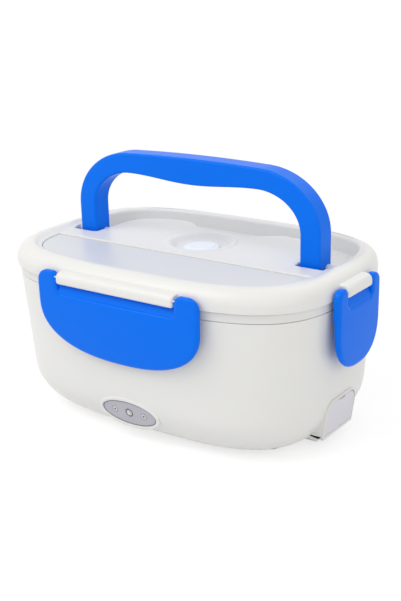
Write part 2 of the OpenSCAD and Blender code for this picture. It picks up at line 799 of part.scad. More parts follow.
module lid_shell() color(white) {
    difference() {
        union() {
            difference() {
                ring_solid([for (z = concat([lid_z], [for (i = [0 : 6])
                    body_h - lid_round * (1 - sin(15 * i))])) lid_ring(z)]);
                difference() {
                    lid_cavity();
                    translate([0, 0, pocket_z]) linear_extrude(body_h) groove_plan(pocket_t);
                    translate([0, 0, pocket_z]) linear_extrude(body_h) strip_plan(-pocket_t);
                    translate([0, vent_y, vent_floor - floor_t])
                        cylinder(r = plug_r + gap + dish_w + 1, h = body_h);
                }
                translate([0, 0, groove_z]) linear_extrude(body_h) groove_plan(0);
                translate([0, 0, field_z]) linear_extrude(body_h) field_plan(0);
                translate([0, 0, ledge_z]) linear_extrude(body_h) strip_plan(0);
                translate([0, 0, groove_z]) linear_extrude(body_h) strip_plan(cover_ledge);
            }
            translate([0, vent_y, field_z - ring_r / 2]) rotate_extrude()
                translate([vent_ring_r - ring_r, 0]) circle(ring_r);
            for (a = [0, 180]) rotate(a) latch_bar(half_w, latch_wide - ear_wide - gap);
            for (a = [90, 270]) rotate(a) latch_bar(half_l, latch_narrow - ear_narrow - gap);
            pivot_places() {
                translate([0, 0, leg_out + gap]) cylinder(r = pivot_boss_r, h = groove_out - leg_out);
                translate([0, 0, groove_in - cut])
                    cylinder(r = pivot_boss_r, h = leg_in - gap - groove_in + cut);
            }
        }
        vent_cut();
        translate([0, vent_y, 0]) cylinder(r = stem_r + gap, h = body_h);
        pivot_places() translate([0, 0, pin_from])
            cylinder(d = handle_pin_d + pin_seat, h = pin_to - pin_from);
        pin_rods(pin_seat, 1);
    }
}

// Four latch pins along the lid's sides, with extra diameter and length
module pin_rods(extra, more) {
    for (a = [0, 180]) rotate(a) translate([0, -half_w - pin_out, latch_pin_z]) rotate([0, 90, 0])
        cylinder(d = latch_pin_d + extra, h = 2 * (latch_wide - pin_inset) + more, center = true);
    for (a = [90, 270]) rotate(a) translate([0, -half_l - pin_out, latch_pin_z]) rotate([0, 90, 0])
        cylinder(d = latch_pin_d + extra, h = 2 * (latch_narrow - pin_inset) + more, center = true);
}

module lid_liner() color(white) difference() {
    plan_slab(half_l - wall - gap, half_w - wall - gap, liner_z, liner_top);
    difference() {
        plan_slab(seal_out, seal_out - half_l + half_w, liner_z - cut, liner_z + seal_sink);
        plan_slab(seal_in, seal_in - half_l + half_w, liner_z - 2 * cut, liner_top);
    }
    translate([0, vent_y, 0]) cylinder(r = stem_r + gap, h = body_h);
}

module seal_ring() color(pale) difference() {
    plan_slab(seal_out - seat_gap, seal_out - seat_gap - half_l + half_w,
        tray_top + seat_gap, liner_z + seal_sink);
    plan_slab(seal_in + seat_gap, seal_in + seat_gap - half_l + half_w, tray_ledge, body_h);
}

module vent_plug() color("white") translate([0, vent_y, 0]) {
    translate([0, 0, vent_floor + seat_gap]) cylinder(r = plug_r, h = plug_t);
    translate([0, 0, vent_floor + plug_t]) cylinder(r1 = plug_r - 2, r2 = plug_r - 4, h = knob_h);
    translate([0, 0, liner_z - 3]) cylinder(r = stem_r, h = vent_floor - liner_z + 4);
}

module spoon_cover() color(pale) translate([0, 0, ledge_z + seat_gap])
    linear_extrude(cover_t) strip_plan(gap);

// Spoon lying in its compartment: bowl, neck and flat handle
module spoon() color(blue) translate([0, -spoon_mid, groove_z + seat_gap]) difference() {
    union() {
        translate([spoon_l / 2 - bowl_a, 0, 0]) linear_extrude(spoon_h) oval(bowl_a, bowl_b);
        translate([-spoon_l / 2 + spoon_end_r, -spoon_neck, 0])
            cube([spoon_l - bowl_a - 3 * spoon_end_r, 2 * spoon_neck, spoon_stem_h]);
        translate([-spoon_l / 2 + spoon_end_r, 0, 0]) cylinder(r = spoon_end_r, h = spoon_stem_h);
    }
    translate([spoon_l / 2 - bowl_a, 0, spoon_h + bowl_r - 3]) sphere(r = bowl_r);
}

// Handle outline seen from the front, its pivot at the origin
function handle_outer() = [for (t = [0 : 7.5 : 90])
    [corner_x + (leg_out - corner_x) * cos(t), corner_low + corner_h * sin(t)]];
function handle_crown() = [for (i = [7 : -1 : -7]) let (x = corner_x * i / 8)
    [x, corner_low + corner_h + crown * (1 - pow(x / corner_x, 2))]];
function handle_inner() = [for (t = [90 : -7.5 : 0])
    [corner_x + (leg_in - corner_x) * cos(t), corner_low + (gap_h - corner_low) * sin(t)]];
function handle_roof() = [for (i = [-11 : 11]) let (x = corner_x * i / 12)
    [x, gap_h - palm_swell * (0.5 + 0.5 * cos(180 * x / corner_x))]];

module handle_plan() polygon(concat(
    [[leg_out, -leg_r]], handle_outer(), handle_crown(),
    [for (i = [len(handle_outer()) - 1 : -1 : 0]) [-handle_outer()[i][0], handle_outer()[i][1]]],
    [[-leg_out, -leg_r], [-leg_in, -leg_r]],
    [for (i = [len(handle_inner()) - 1 : -1 : 0]) [-handle_inner()[i][0], handle_inner()[i][1]]],
    handle_roof(), handle_inner(), [[leg_in, -leg_r]]));

module handle() color(blue) translate([0, pivot_y, pivot_z]) difference() {
    translate([0, leg_r, 0]) rotate([90, 0, 0]) linear_extrude(handle_t) handle_plan();
    difference() {
        translate([-body_l, 0, -body_h]) cube([2 * body_l, body_w, body_h]);
        rotate([0, 90, 0]) cylinder(r = leg_r, h = body_l, center = true);
    }
    rotate([0, 90, 0]) cylinder(d = handle_pin_d + 2 * pin_gap, h = body_l, center = true);
}

module handle_pins() color(steel) pivot_places() translate([0, 0, pin_from + gap])
    cylinder(d = handle_pin_d, h = pin_to - pin_from - 2 * gap);

// Front view of a latch: half width, ear width and height of the curved foot
module latch_plan(half, ear, drop, inset = 0) {
    a = half - inset;
    foot = latch_z + inset;
    in = half - ear;
    d = drop - inset;
    r = ear_round - inset;
    right = concat([for (t = [-90 : 7.5 : 0]) [a * pow(abs(cos(t)), 2 / latch_power),
        foot + d - d * pow(abs(sin(t)), 2 / latch_power)]],
        [for (t = [0 : 22.5 : 90]) [a - r * (1 - cos(t)), latch_top - r * (1 - sin(t))]],
        [[in + ear_chamfer, latch_top], [in, latch_top - ear_chamfer], [in, plate_top + notch_chamfer],
            [in - notch_chamfer, plate_top]]);
    polygon(concat(right, [for (i = [len(right) - 1 : -1 : 1]) [-right[i][0], right[i][1]]]));
}

// Side view of the latch's plate, from its outer face inwards by the given depth
module latch_side(reach, depth) {
    face = [for (i = [0 : 8]) let (s = i / 8)
        [-reach - proud + latch_bow * s * s, plate_top - (plate_top - latch_z) * s]];
    polygon(concat([[-reach - proud, latch_top]], face,
        [for (i = [8 : -1 : 0]) face[i] + [depth, 0]], [[-reach - proud + depth, latch_top]]));
}

module across(half) rotate([90, 0, 90]) translate([0, 0, -half]) linear_extrude(2 * half) children();
module through(reach) translate([0, -reach + 10, 0]) rotate([90, 0, 0]) linear_extrude(30) children();

// Ear in side view: an upright with its top rounded about the pin
module ear_side(reach) intersection() {
    union() {
        translate([-reach - pin_out, latch_pin_z]) circle(ear_r);
        translate([-reach - proud, plate_top - 6])
            square([face_out + ear_r, latch_pin_z - plate_top + 6]);
    }
    translate([-reach - proud, 0]) square([3 * proud, body_h]);
}

module latch(reach, half, ear, drop, seat, rib_half) color(blue) difference() {
    union() {
        intersection() {
            through(reach) latch_plan(half, ear, drop);
            across(half) difference() {
                latch_side(reach, latch_t);
                translate([-reach - 4 * proud, latch_pin_z - 2]) square([8 * proud, body_h]);
            }
        }
        intersection() {
            through(reach) difference() {
                latch_plan(half, ear, drop);
                translate([-half + ear, plate_top - 4]) square([2 * (half - ear), body_h]);
            }
            across(half) ear_side(reach);
        }
        intersection() {
            through(reach) difference() {
                latch_plan(half, ear, drop);
                latch_plan(half, ear, drop, latch_rim);
                translate([-half + ear, plate_top - latch_rim]) square([2 * (half - ear), body_h]);
            }
            across(half) difference() {
                latch_side(reach, rim_depth);
                translate([-reach - 4 * proud, latch_pin_z - 2]) square([8 * proud, body_h]);
                translate([-seat - rib_out - tooth_gap, 0]) square([4 * proud, body_h]);
            }
        }
        translate([-rib_half, -reach - proud + latch_t - 0.6, rib_z - gap - tooth_h])
            cube([2 * rib_half, reach + proud - latch_t + 0.6 - seat - rib_out - tooth_gap, tooth_h]);
    }
    translate([0, -reach - pin_out, latch_pin_z]) rotate([0, 90, 0])
        cylinder(d = latch_pin_d + 2 * pin_gap, h = 3 * half, center = true);
}

module wide_latch() latch(half_w, latch_wide, ear_wide, drop_wide, base_ring(rib_z)[2], rib_half_wide);
module narrow_latch() latch(half_l, latch_narrow, ear_narrow, drop_narrow, base_ring(rib_z)[1],
    rib_half_narrow);

module latch_front() wide_latch();
module latch_back() rotate(180) wide_latch();
module latch_left() rotate(270) narrow_latch();
module latch_right() rotate(90) narrow_latch();
module latch_pins() color(steel) pin_rods(0, 0);

base_shell();
inner_well();
heating_plate();
ptc_heater();
heater_clamp();
clamp_screws();
thermostat();
thermal_fuse();
inlet_socket();
socket_pins();
inlet_cover();
inlet_hinge_pin();
indicator_label();
lamp_lens();
lamp_board();
power_wires();
lamp_wires();
base_screws();
feet();
food_tray();
side_box();
side_box_lid();
lid_shell();
lid_liner();
seal_ring();
vent_plug();
spoon_cover();
spoon();
handle();
handle_pins();
latch_front();
latch_back();
latch_left();
latch_right();
latch_pins();
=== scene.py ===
"""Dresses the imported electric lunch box: smooth mouldings, finishes, light and the camera.

Sizes are in millimetres and become metres when a mesh is written. +X is the end with the
power inlet, -Y the front with the indicator and +Z up, as in the part's source.
"""

from __future__ import annotations

import logging
import math
from dataclasses import dataclass, field
from enum import Enum
from typing import Callable, Sequence

import bmesh
import bpy
import numpy as np
from mathutils import Matrix, Vector
from mathutils.geometry import delaunay_2d_cdt

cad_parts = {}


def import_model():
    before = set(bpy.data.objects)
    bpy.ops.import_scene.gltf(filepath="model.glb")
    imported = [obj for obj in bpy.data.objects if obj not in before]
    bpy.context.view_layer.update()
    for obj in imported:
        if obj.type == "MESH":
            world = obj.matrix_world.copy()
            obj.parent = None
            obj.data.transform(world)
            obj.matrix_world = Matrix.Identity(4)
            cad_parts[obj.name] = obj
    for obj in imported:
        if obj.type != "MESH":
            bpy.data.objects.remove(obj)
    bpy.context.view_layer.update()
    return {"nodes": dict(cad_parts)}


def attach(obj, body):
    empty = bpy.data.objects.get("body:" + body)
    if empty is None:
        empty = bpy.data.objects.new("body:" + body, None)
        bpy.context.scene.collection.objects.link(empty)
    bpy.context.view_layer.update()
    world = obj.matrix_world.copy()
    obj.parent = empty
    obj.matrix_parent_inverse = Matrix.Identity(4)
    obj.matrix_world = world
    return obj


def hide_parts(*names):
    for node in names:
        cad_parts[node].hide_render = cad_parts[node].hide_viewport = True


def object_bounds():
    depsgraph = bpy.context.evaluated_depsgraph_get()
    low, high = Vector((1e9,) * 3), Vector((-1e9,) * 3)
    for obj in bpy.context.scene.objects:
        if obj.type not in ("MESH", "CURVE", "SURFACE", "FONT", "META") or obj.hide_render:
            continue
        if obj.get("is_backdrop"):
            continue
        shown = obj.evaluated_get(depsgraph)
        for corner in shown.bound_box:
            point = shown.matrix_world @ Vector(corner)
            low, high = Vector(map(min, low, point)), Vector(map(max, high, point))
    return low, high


LOG = logging.getLogger("lunch_box")
MM = 0.001
AROUND = 288
MERGE_M = 2e-6
SHARP_DEG = 48
FLIP = np.array([-1.0, 1.0])
QUADRANTS = ((-1, -1), (-1, 1), (1, -1), (1, 1))
Array = np.ndarray


class Body(Enum):
    """Bodies of the frame that a piece can ride on."""

    BASE = "base"
    FLAP = "inlet_cover"
    LID = "lid"
    TRAY = "tray"
    BOX = "side_box"
    BOX_LID = "side_box_lid"
    PLUG = "vent_plug"
    STRIP = "spoon_cover"
    SPOON = "spoon"
    HANDLE = "handle"
    FRONT = "latch_front"
    BACK = "latch_back"
    LEFT = "latch_left"
    RIGHT = "latch_right"


# Curves and surfaces


def resample(points: Array, count: int) -> Array:
    """Spreads points evenly by arc length along a closed polyline.

    Args:
        points: (n, 2) corners of the closed polyline.
        count: number of points wanted.

    Returns:
        (count, 2) points, starting at the first corner.
    """
    loop = np.vstack([points, points[:1]])
    steps = np.hypot(*np.diff(loop, axis=0).T)
    along = np.concatenate([[0.0], np.cumsum(steps)])
    at = np.linspace(0.0, along[-1], count, endpoint=False)
    return np.column_stack([np.interp(at, along, loop[:, 0]), np.interp(at, along, loop[:, 1])])


def circle(count: int) -> tuple[Array, Array]:
    """Cosines and sines of evenly spaced angles round a full turn."""
    t = np.linspace(0.0, 2.0 * np.pi, count, endpoint=False)
    return np.cos(t), np.sin(t)


def oval(a: float | Array, b: float | Array, power: float | Array, count: int) -> Array:
    """Points of |x/a|^power + |y/b|^power = 1 at evenly spaced angles."""
    c, s = circle(count)
    x = a * np.sign(c) * np.abs(c) ** (2.0 / power)
    y = b * np.sign(s) * np.abs(s) ** (2.0 / power)
    return np.column_stack([x, y])


def superellipse(a: float, b: float, power: float, count: int = AROUND) -> Array:
    """Closed curve |x/a|^power + |y/b|^power = 1, with points evenly spaced along it."""
    return resample(oval(a, b, power, 16 * count), count)


def soften(points: Array, width: float, count: int = AROUND) -> Array:
    """Rounds the corners of a closed polyline with a Gaussian of the given width along it.

    The curve is resampled evenly, and its Fourier terms are weakened by exp(-(k w)^2 / 2).
    """
    dense = resample(points, 8 * count)
    length = float(np.hypot(*(dense - np.roll(dense, 1, axis=0)).T).sum())
    wave = np.fft.fftfreq(len(dense), d=length / len(dense)) * 2.0 * np.pi
    spectrum = np.fft.fft(dense[:, 0] + 1j * dense[:, 1]) * np.exp(-0.5 * (wave * width) ** 2)
    curve = np.fft.ifft(spectrum)
    return resample(np.column_stack([curve.real, curve.imag]), count)


def offset(points: Array, distance: float | Array) -> Array:
    """Moves a closed counter-clockwise curve outwards by a distance along its normals.

    Points nearer to the curve than the distance lie in a fold, and go onto the line across it.
    """
    tangent = np.roll(points, -1, axis=0) - np.roll(points, 1, axis=0)
    length = np.maximum(np.hypot(tangent[:, 0], tangent[:, 1]), 1e-9)
    normal = np.column_stack([tangent[:, 1], -tangent[:, 0]]) / length[:, None]
    moved = points + np.reshape(distance, (-1, 1)) * normal
    if np.size(distance) > 1:
        return moved
    apart = np.hypot(*(moved[:, None, :] - points[None, :, :]).transpose(2, 0, 1)).min(axis=1)
    good = apart > 0.985 * abs(float(distance))
    if good.all() or not good.any():
        return moved
    index = np.arange(len(moved))
    straight = [np.interp(index, index[good], moved[good, k], period=len(moved)) for k in (0, 1)]
    return np.column_stack(straight)


def rounded(corners: Sequence[tuple[float, float, float]], steps: int = 5) -> Array:
    """Open polyline through corners given as (u, z, radius), each corner an arc.

    An arc is a quadratic curve that starts and ends one tangent length from the corner.

    Returns:
        (n, 2) points of the polyline.
    """
    places = np.array([c[:2] for c in corners], float)
    out = [places[:1]]
    for i in range(1, len(corners) - 1):
        before, here, after = places[i - 1], places[i], places[i + 1]
        back, on = before - here, after - here
        reach = min(corners[i][2], 0.49 * np.hypot(*back), 0.49 * np.hypot(*on))
        if reach < 1e-4:
            out.append(here[None])
            continue
        start = here + back / np.hypot(*back) * reach
        end = here + on / np.hypot(*on) * reach
        t = np.linspace(0.0, 1.0, steps + 1)[:, None]
        out.append((1 - t) ** 2 * start + 2 * t * (1 - t) * here + t**2 * end)
    out.append(places[-1:])
    return np.vstack(out)


@dataclass
class Surface:
    """A mesh as arrays: vertices in millimetres, and faces of three or four corners."""

    vertices: Array
    faces: list[Array] = field(default_factory=list)

    def __add__(self, other: Surface) -> Surface:
        """Both surfaces as one."""
        shift = len(self.vertices)
        vertices = np.vstack([self.vertices, other.vertices])
        return Surface(vertices, self.faces + [f + shift for f in other.faces])

    def mapped(self, place: Callable[[Array, Array, Array], tuple[Array, Array, Array]]) -> Surface:
        """The surface with its coordinates changed by a function of three arrays."""
        return Surface(np.column_stack(place(*self.vertices.T)), self.faces)

    def turned(self, degrees: float) -> Surface:
        """The surface turned about the Z axis."""
        c, s = math.cos(math.radians(degrees)), math.sin(math.radians(degrees))
        return self.mapped(lambda x, y, z: (c * x - s * y, s * x + c * y, z))


def join(parts: Sequence[Surface]) -> Surface:
    """All surfaces as one."""
    return sum(parts[1:], parts[0])


def skin(rings: Array, closed: bool = False) -> Surface:
    """Quads between neighbouring rings of a (rings, points, 3) array.

    Args:
        rings: points of each closed ring.
        closed: True joins the last ring to the first one.
    """
    count, around = rings.shape[:2]
    rows = np.arange(count if closed else count - 1)[:, None]
    cols = np.arange(around)[None, :]
    low, high = rows * around, (rows + 1) % count * around
    nxt = (cols + 1) % around
    quads = np.stack([low + cols, low + nxt, high + nxt, high + cols], axis=-1).reshape(-1, 4)
    return Surface(rings.reshape(-1, 3), [quads])


def at_height(points: Array, z: float | Array) -> Array:
    """(n, 3) points of a plan curve lifted to a height."""
    return np.column_stack([points, np.broadcast_to(z, len(points))])


def fill(outline: Array, z: float, holes: Sequence[Array] = (), spacing: float = 0.0) -> Surface:
    """Triangles over a plan outline with holes, at one height.

    Args:
        outline: closed outer curve.
        z: height of the flat surface.
        holes: closed curves that stay open.
        spacing: distance of extra points inside, for a surface that is bent later.
    """
    loops = [outline, *holes]
    points = np.vstack(loops)
    starts = np.cumsum([0] + [len(loop) for loop in loops[:-1]])
    links = [
        np.column_stack([np.arange(len(p)), (np.arange(len(p)) + 1) % len(p)]) + start
        for p, start in zip(loops, starts)
    ]
    if spacing:
        low, high = outline.min(axis=0), outline.max(axis=0)
        gx, gy = np.meshgrid(*(np.arange(low[i] + spacing, high[i], spacing) for i in (0, 1)))
        grid = np.column_stack([gx.ravel(), gy.ravel()])
        points = np.vstack([points, grid[inside(grid, offset(outline, -0.5 * spacing))]])
    found = delaunay_2d_cdt([Vector(p) for p in points.tolist()], np.vstack(links).tolist(), [], 0, 1e-6)
    flat = np.array([tuple(v) for v in found[0]])
    triangles = np.array(found[2])
    middle = flat[triangles].mean(axis=1)
    keep = inside(middle, outline)
    for hole in holes:
        keep &= ~inside(middle, hole)
    return Surface(at_height(flat, z), [triangles[keep]])


def inside(points: Array, outline: Array) -> Array:
    """Which points lie inside a closed curve, by counting crossings of a ray along +X."""
    a, b = outline, np.roll(outline, -1, axis=0)
    x, y = points[:, 0, None], points[:, 1, None]
    span = (a[None, :, 1] > y) != (b[None, :, 1] > y)
    rise = np.where(np.abs(b[:, 1] - a[:, 1]) < 1e-12, 1e-12, b[:, 1] - a[:, 1])
    cross = a[None, :, 0] + (y - a[None, :, 1]) * ((b[:, 0] - a[:, 0]) / rise)[None]
    return (span & (x < cross)).sum(axis=1) % 2 == 1


def carried(outline: Array, profile: Array) -> Array:
    """Rings of an outline offset inwards by profile[:, 0], at the heights profile[:, 1]."""
    return np.stack([at_height(offset(outline, -inset), z) for inset, z in profile])


def ovals(a: float, b: float, power: float, profile: Array) -> Array:
    """Rings of a superellipse with half sizes less profile[:, 0], at the heights profile[:, 1]."""
    return np.stack([at_height(superellipse(a - i, b - i, power), z) for i, z in profile])


def slab(outline: Array, low: float, high: float, edge: float) -> Surface:
    """Closed plate over a plan outline with rounded edges, from low to high."""
    profile = [(2 * edge, low, 0), (0, low, edge), (0, high, edge), (2 * edge, high, 0)]
    return nested(carried(outline, rounded(profile, 4)))


def nested(rings: Array) -> Surface:
    """Closed solid through rings, with a flat fill on the first and last ring."""
    ends = [fill(ring[:, :2], float(ring[0, 2])) for ring in (rings[0], rings[-1])]
    return skin(rings) + ends[0] + ends[1]


def turned_solid(profile: Array, centre: tuple[float, float], count: int = 96) -> Surface:
    """Solid of (radius, z) points turned about a vertical axis; radius 0 closes it."""
    radius, z = profile[:, 0, None], profile[:, 1, None]
    across = [middle + radius * part for middle, part in zip(centre, circle(count))]
    return skin(np.stack([*across, np.broadcast_to(z, across[0].shape)], axis=-1))


def rod(radius: float, low: float, high: float, edge: float, count: int) -> Surface:
    """Upright round rod with soft ends, on the vertical axis."""
    profile = rounded([(0, low, 0), (radius, low, edge), (radius, high, edge), (0, high, 0)], 3)
    return turned_solid(profile, (0.0, 0.0), count)


def stadium(a: float, b: float, radius: float, count: int = 96) -> Array:
    """Rectangle of half sizes a and b with round corners."""
    c, s = circle(count)
    x = np.sign(c) * (a - radius) + radius * c
    y = np.sign(s) * (b - radius) + radius * s
    return resample(np.column_stack([x, y]), count)


# Finishes


def linear(colour: tuple[int, int, int]) -> tuple[float, float, float, float]:
    """A colour of three 8-bit display values as linear light with full alpha."""
    c = np.array(colour) / 255.0
    value = np.where(c <= 0.04045, c / 12.92, ((c + 0.055) / 1.055) ** 2.4)
    return (*value.tolist(), 1.0)


def fit(tree: bpy.types.NodeTree, made: bpy.types.Node, inputs: dict[str | int, object]) -> None:
    """Fills a node's inputs: a socket is linked, any other value is set."""
    for key, value in inputs.items():
        if isinstance(value, bpy.types.NodeSocket):
            tree.links.new(value, made.inputs[key])
        else:
            made.inputs[key].default_value = value


def add_node(
    tree: bpy.types.NodeTree, kind: str, inputs: dict[str | int, object], **settings: object
) -> bpy.types.bpy_prop_collection:
    """Adds a shader node.

    Args:
        tree: the tree that it goes into.
        kind: its type, without the prefix ShaderNode.
        inputs: its inputs by name or number, as for fit.
        settings: its properties.

    Returns:
        The node's outputs.
    """
    made = tree.nodes.new(f"ShaderNode{kind}")
    for key, value in settings.items():
        setattr(made, key, value)
    fit(tree, made, inputs)
    return made.outputs


def moulded_group() -> bpy.types.NodeTree:
    """Node group of a moulded surface: soft colour drift, uneven sheen and a fine grain."""
    name = "moulded_surface"
    if name in bpy.data.node_groups:
        return bpy.data.node_groups[name]
    tree = bpy.data.node_groups.new(name, "ShaderNodeTree")
    colour, number = "NodeSocketColor", "NodeSocketFloat"
    for label, kind, default in (
        ("Colour", colour, (0.8, 0.8, 0.8, 1.0)),
        ("Drift", number, 0.03),
        ("Roughness", number, 0.3),
        ("Sheen Spread", number, 0.05),
        ("Grain Scale", number, 2500.0),
    ):
        tree.interface.new_socket(label, in_out="INPUT", socket_type=kind).default_value = default
    for label, kind in (("Colour", colour), ("Roughness", number), ("Height", number)):
        tree.interface.new_socket(label, in_out="OUTPUT", socket_type=kind)
    given = tree.nodes.new("NodeGroupInput").outputs
    where = add_node(tree, "TexCoord", {})["Object"]
    drift = add_node(tree, "TexNoise", {"Vector": where, "Scale": 9.0, "Detail": 3.0})
    shift = add_node(tree, "MapRange", {"Value": drift["Fac"], "To Min": -1.0})
    amount = add_node(tree, "Math", {0: shift["Result"], 1: given["Drift"]}, operation="MULTIPLY")
    lift = add_node(tree, "Math", {0: amount[0], 1: 1.0}, operation="ADD")
    bright = add_node(tree, "HueSaturation", {"Value": lift[0], "Color": given["Colour"]})
    smear = add_node(tree, "TexNoise", {"Vector": where, "Scale": 42.0, "Detail": 4.0})
    centre = add_node(tree, "Math", {0: smear["Fac"], 1: 0.5}, operation="SUBTRACT")
    uneven = {0: centre[0], 1: given["Sheen Spread"], 2: given["Roughness"]}
    spread = add_node(tree, "Math", uneven, operation="MULTIPLY_ADD")
    fine = {"Vector": where, "Scale": given["Grain Scale"], "Detail": 2.0}
    grain = add_node(tree, "TexNoise", fine)
    results = {"Colour": bright["Color"], "Roughness": spread[0], "Height": grain["Fac"]}
    fit(tree, tree.nodes.new("NodeGroupOutput"), results)
    return tree


@dataclass(frozen=True)
class Finish:
    """One finish: its colour as the eye sees it, its gloss and its grain."""

    name: str
    colour: tuple[int, int, int]
    roughness: float
    drift: float = 0.02
    spread: float = 0.08
    grain: float = 0.05
    grain_mm: float = 0.4
    metallic: float = 0.0
    coat: float = 0.0
    see_through: float = 0.0
    glow: float = 0.0
    shine: float = 0.5

    def material(self) -> bpy.types.Material:
        """The finish as a material, made once."""
        if self.name in bpy.data.materials:
            return bpy.data.materials[self.name]
        made = bpy.data.materials.new(self.name)
        made.use_nodes = True
        tree = made.node_tree
        surface = add_node(
            tree,
            "Group",
            {
                "Colour": linear(self.colour),
                "Drift": self.drift,
                "Roughness": self.roughness,
                "Sheen Spread": self.spread,
                "Grain Scale": 1.0 / (self.grain_mm * MM),
            },
            node_tree=moulded_group(),
        )
        relief = {"Strength": self.grain, "Distance": 0.0001, "Height": surface["Height"]}
        look = {
            "Base Color": surface["Colour"],
            "Roughness": surface["Roughness"],
            "Normal": add_node(tree, "Bump", relief)["Normal"],
            "Metallic": self.metallic,
            "Coat Weight": self.coat,
            "Coat Roughness": 0.12,
            "Transmission Weight": self.see_through,
            "Subsurface Weight": self.glow,
            "Subsurface Scale": 0.004,
            "Specular IOR Level": self.shine,
        }
        fit(tree, tree.nodes["Principled BSDF"], look)
        return made


WHITE = Finish("white_moulding", (232, 231, 227), 0.34, glow=0.05, shine=0.4)
LINER = Finish("liner_moulding", (228, 227, 224), 0.38, glow=0.05, shine=0.4)
STRIP = Finish("strip_film", (217, 219, 221), 0.36, grain=0.08, shine=0.4)
BLUE = Finish("blue_moulding", (0, 113, 240), 0.32, drift=0.03, shine=0.1)
LABEL = Finish("label_film", (185, 183, 191), 0.38, grain=0.12, grain_mm=0.25)
PRINT_DARK = Finish("print_dark", (92, 90, 98), 0.5)
PRINT_PALE = Finish("print_pale", (214, 213, 217), 0.5)
LENS = Finish("lamp_lens", (240, 240, 238), 0.15, see_through=0.3)
FLAP = Finish("flap_moulding", (221, 218, 226), 0.40, grain=0.1)
BLACK = Finish("black_moulding", (34, 34, 36), 0.42)
RUBBER = Finish("foot_rubber", (58, 58, 60), 0.75, grain=0.25, grain_mm=0.3)
SILICONE = Finish("silicone", (204, 209, 217), 0.45, glow=0.15, shine=0.35)
TRAY = Finish("tray_moulding", (232, 234, 234), 0.38, glow=0.15)
BOX_LID = Finish("box_lid_moulding", (216, 222, 230), 0.34, glow=0.15)
STEEL = Finish("steel", (196, 197, 200), 0.28, metallic=1.0, spread=0.15)
ALUMINIUM = Finish("aluminium", (205, 207, 210), 0.38, metallic=1.0, spread=0.15, grain=0.2)
BRASS = Finish("plated_brass", (206, 188, 132), 0.25, metallic=1.0)
FILM = Finish("heater_film", (176, 118, 48), 0.3, drift=0.08, coat=0.5)
BOARD = Finish("circuit_board", (24, 92, 52), 0.4, drift=0.08)
RED_WIRE = Finish("red_insulation", (186, 38, 32), 0.5)
PALE_WIRE = Finish("pale_insulation", (220, 220, 218), 0.5)


def place_object(name: str, data: bpy.types.ID) -> bpy.types.Object:
    """A new object at the origin, in the scene."""
    made = bpy.data.objects.new(name, data)
    bpy.context.scene.collection.objects.link(made)
    return made


def write_piece(
    name: str, surface: Surface, finish: Finish, body: Body, nodes: Sequence[str] = ()
) -> bpy.types.Object:
    """Makes one piece and hangs it in the frame.

    Args:
        name: the piece's name.
        surface: its closed surface, in millimetres.
        finish: its finish.
        body: the body that carries it.
        nodes: nodes that it stands for.

    Returns:
        The new object, at the origin.
    """
    mesh = bpy.data.meshes.new(name)
    faces = [f for group in surface.faces for f in group.tolist()]
    mesh.from_pydata((surface.vertices * MM).tolist(), [], faces)
    work = bmesh.new()
    work.from_mesh(mesh)
    bmesh.ops.remove_doubles(work, verts=work.verts, dist=MERGE_M)
    bmesh.ops.dissolve_degenerate(work, edges=work.edges, dist=MERGE_M / 2)
    bmesh.ops.recalc_face_normals(work, faces=work.faces)
    open_edges = sum(1 for e in work.edges if not e.is_manifold)
    work.to_mesh(mesh)
    work.free()
    mesh.polygons.foreach_set("use_smooth", np.ones(len(mesh.polygons), bool))
    mesh.set_sharp_from_angle(angle=math.radians(SHARP_DEG))
    mesh.materials.append(finish.material())
    piece = place_object(name, mesh)
    bend = piece.modifiers.new("even_normals", "WEIGHTED_NORMAL")
    bend.keep_sharp = True
    bend.weight = 60
    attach(piece, body.value)
    if nodes:
        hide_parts(*nodes)
    LOG.info("%s: %d faces, %d open edges, on %s", name, len(mesh.polygons), open_edges, body.value)
    return piece


# The box


@dataclass
class Shape:
    """Main sizes that the mouldings share."""

    half_l: float = 118.0
    half_w: float = 79.5
    top: float = 114.0
    lid_low: float = 100.2
    collar_low: float = 94.1
    collar_top: float = 99.8
    seam_step: float = 1.7
    power: float = 3.3
    wall: float = 2.4
    taper_l: float = 4.7
    taper_w: float = 3.5
    base_round: float = 29.0
    foot_h: float = 1.5
    field: float = 112.0
    field_l: float = 99.5
    field_w: float = 63.0
    field_power: float = 4.0
    floor: float = 103.2
    under: float = 101.6

    @property
    def base_l(self) -> float:
        """Half length of the base at its top."""
        return self.half_l - self.seam_step

    @property
    def base_w(self) -> float:
        """Half width of the base at its top."""
        return self.half_w - self.seam_step

    def base_ring(self, z: float, inset: float = 0.0) -> Array:
        """Ring of the base's wall at a height: a straight taper above a quarter round."""
        share = (self.collar_low - z) / (self.collar_low - self.base_round)
        radius = self.base_round - inset
        drop = max(self.base_round - z, 0.0)
        curl = radius - math.sqrt(max(radius**2 - drop**2, 0.0)) + inset
        a = self.base_l - self.taper_l * share - curl
        b = self.base_w - self.taper_w * share - curl
        return at_height(superellipse(a, b, self.power), z)


